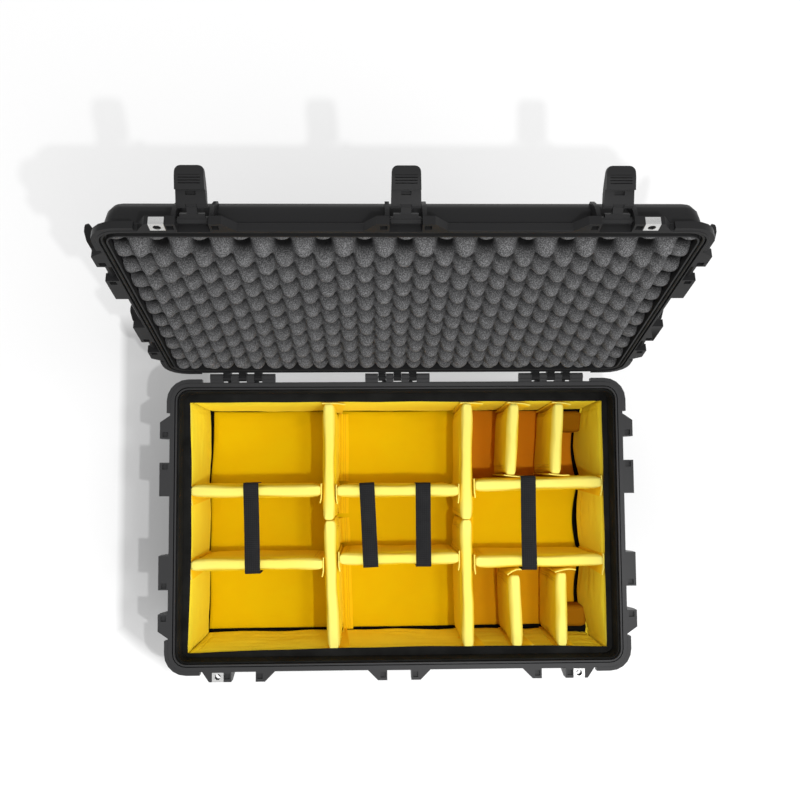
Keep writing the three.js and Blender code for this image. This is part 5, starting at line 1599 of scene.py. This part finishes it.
@dataclass
class Studio:
    """Camera, floor and lights."""

    lens: float = 42.84
    place: Vector = field(default_factory=lambda: Vector((-38.7 * MM, 89.8 * MM, 1573.5 * MM + RIM)))
    turn: tuple = (4.182, -1.527, -0.376)
    lamp_place: tuple = (0.218, -0.13, 1.866)
    lamp_power: float = 35.0
    lamp_radius: float = 0.016
    spot_place: tuple = (0.46, -0.12, 1.866)
    spot_aim: tuple = (-0.22, -0.52, 0.0)
    spot_power: float = 20.0
    spot_radius: float = 0.1
    spot_width: float = 50.0
    spot_blend: float = 0.3
    sun_from: tuple = (0.8, -0.3, 0.75)
    sun_power: float = 1.0
    sun_spread: float = 60.0
    sky: float = 0.77
    floor_size: float = 12.0
    floor_gap: float = 0.5 * MM
    floor_glow: float = 0.32
    floor_colour: tuple = (0.65, 0.65, 0.65, 1)
    white: tuple = (1, 1, 1, 1)
    # Edges of the glow: a band left of and in front of the case gets none, so it stays grey as painted shadow
    # along the shadow's outline, and the glow paints the floor white elsewhere.
    glow_edges: tuple = (
        ((-1, 0, 0), 0.508, 0.526), ((1, 0, 0), -0.36, -0.3), ((0, 1, 0), 0.35, 0.39),
        ((0, -1, 0), 0.26, 0.29), ((-0.632, -0.775, 0), 0.474, 0.496),
    )

    def camera(self) -> None:
        """Put the camera where the photograph was taken from."""
        data = bpy.data.cameras.new("photo_camera")
        data.lens = self.lens
        camera = Bench.show("photo_camera", data)
        camera.location = self.place
        camera.rotation_euler = [math.radians(angle) for angle in self.turn]
        bpy.context.scene.camera = camera

    def floor(self) -> None:
        """Pale floor that shows the shadow and is white where it is lit; its glow for the eye paints out
        shadows away from the case and is left out in a band drawn along the case's shadow, as painted shadow.
        """
        Bench.clear()
        bpy.ops.mesh.primitive_plane_add(size=self.floor_size, location=(0, 0, -self.floor_gap))
        piece = Bench.name("studio_floor")
        canvas = Canvas("studio_floor")
        seen = canvas.add("LightPath", {}).outputs
        kinds = ("Camera", "Glossy", "Transmission")
        rays = canvas.fold("MAXIMUM", [seen[f"Is {kind} Ray"] for kind in kinds])
        edges = []
        for across, start, end in self.glow_edges:
            reach = canvas.add("VectorMath", {0: canvas.place, 1: across}, operation="DOT_PRODUCT")
            edges.append(canvas.ramp(reach.outputs["Value"], start, end))
        # Painted light and shadow: glow away from the band drawn along the case's shadow.
        glow_outside_painted_shadow = canvas.ramp(canvas.fold("MAXIMUM", edges), 0, 1, 0, self.floor_glow)
        canvas.coat(self.floor_colour, 0.9, 0.0, Emission_Color=self.white,
                    Emission_Strength=canvas.math("MULTIPLY", rays, glow_outside_painted_shadow))
        piece.data.materials.append(canvas.material)

    @staticmethod
    def light(name: str, kind: str, aim: Vector | None = None, **settings: float) -> Piece:
        """Add a light.

        Args:
            name: Its name.
            kind: Blender's light type.
            aim: Where it shines from, as seen from what it shines at, or None for a point light.
            **settings: Properties of the light.

        Returns:
            The new light's object.
        """
        data = bpy.data.lights.new(name, kind)
        for key, value in settings.items():
            setattr(data, key, value)
        lamp = Bench.show(name, data)
        if aim:
            lamp.rotation_euler = aim.to_track_quat("Z", "Y").to_euler()
        return lamp

    def lights(self) -> None:
        """A lamp and a wide spot beside the camera, and a broad soft sun from the right."""
        lamp = self.light("lamp", "POINT", energy=self.lamp_power, shadow_soft_size=self.lamp_radius)
        lamp.location = self.lamp_place
        spot = self.light(
            "spot", "SPOT", Vector(self.spot_place) - Vector(self.spot_aim), energy=self.spot_power,
            shadow_soft_size=self.spot_radius, spot_size=math.radians(self.spot_width),
            spot_blend=self.spot_blend)
        spot.location = self.spot_place
        self.light("side_sun", "SUN", Vector(self.sun_from), energy=self.sun_power,
                   angle=math.radians(self.sun_spread))

    def air(self) -> None:
        """Even white sky that is dimmer for the light it gives than for the eye."""
        world = bpy.context.scene.world or bpy.data.worlds.new("sky")
        bpy.context.scene.world = world
        world.use_nodes = True
        wires = Wiring(world.node_tree)
        seen = wires.add("LightPath", {}).outputs["Is Camera Ray"]
        wires.feed(world.node_tree.nodes["Background"], {
            "Color": self.white, "Strength": wires.ramp(seen, 0, 1, self.sky, 1)})
        bpy.context.scene.view_settings.view_transform = "Standard"

    def build(self) -> None:
        """Build the studio."""
        self.camera()
        self.floor()
        self.lights()
        self.air()


def main() -> None:
    """Build the studio and every sub-assembly, in order."""
    logging.basicConfig(level=logging.INFO, format="%(name)s: %(message)s")
    Studio().build()
    finishes = Finishes()
    for assembly in (MouldedParts, LidFoam, DividerSet, Collar, Straps):
        assembly(finishes).build()
    Bench.clear()


if __name__ == "__main__":
    main()
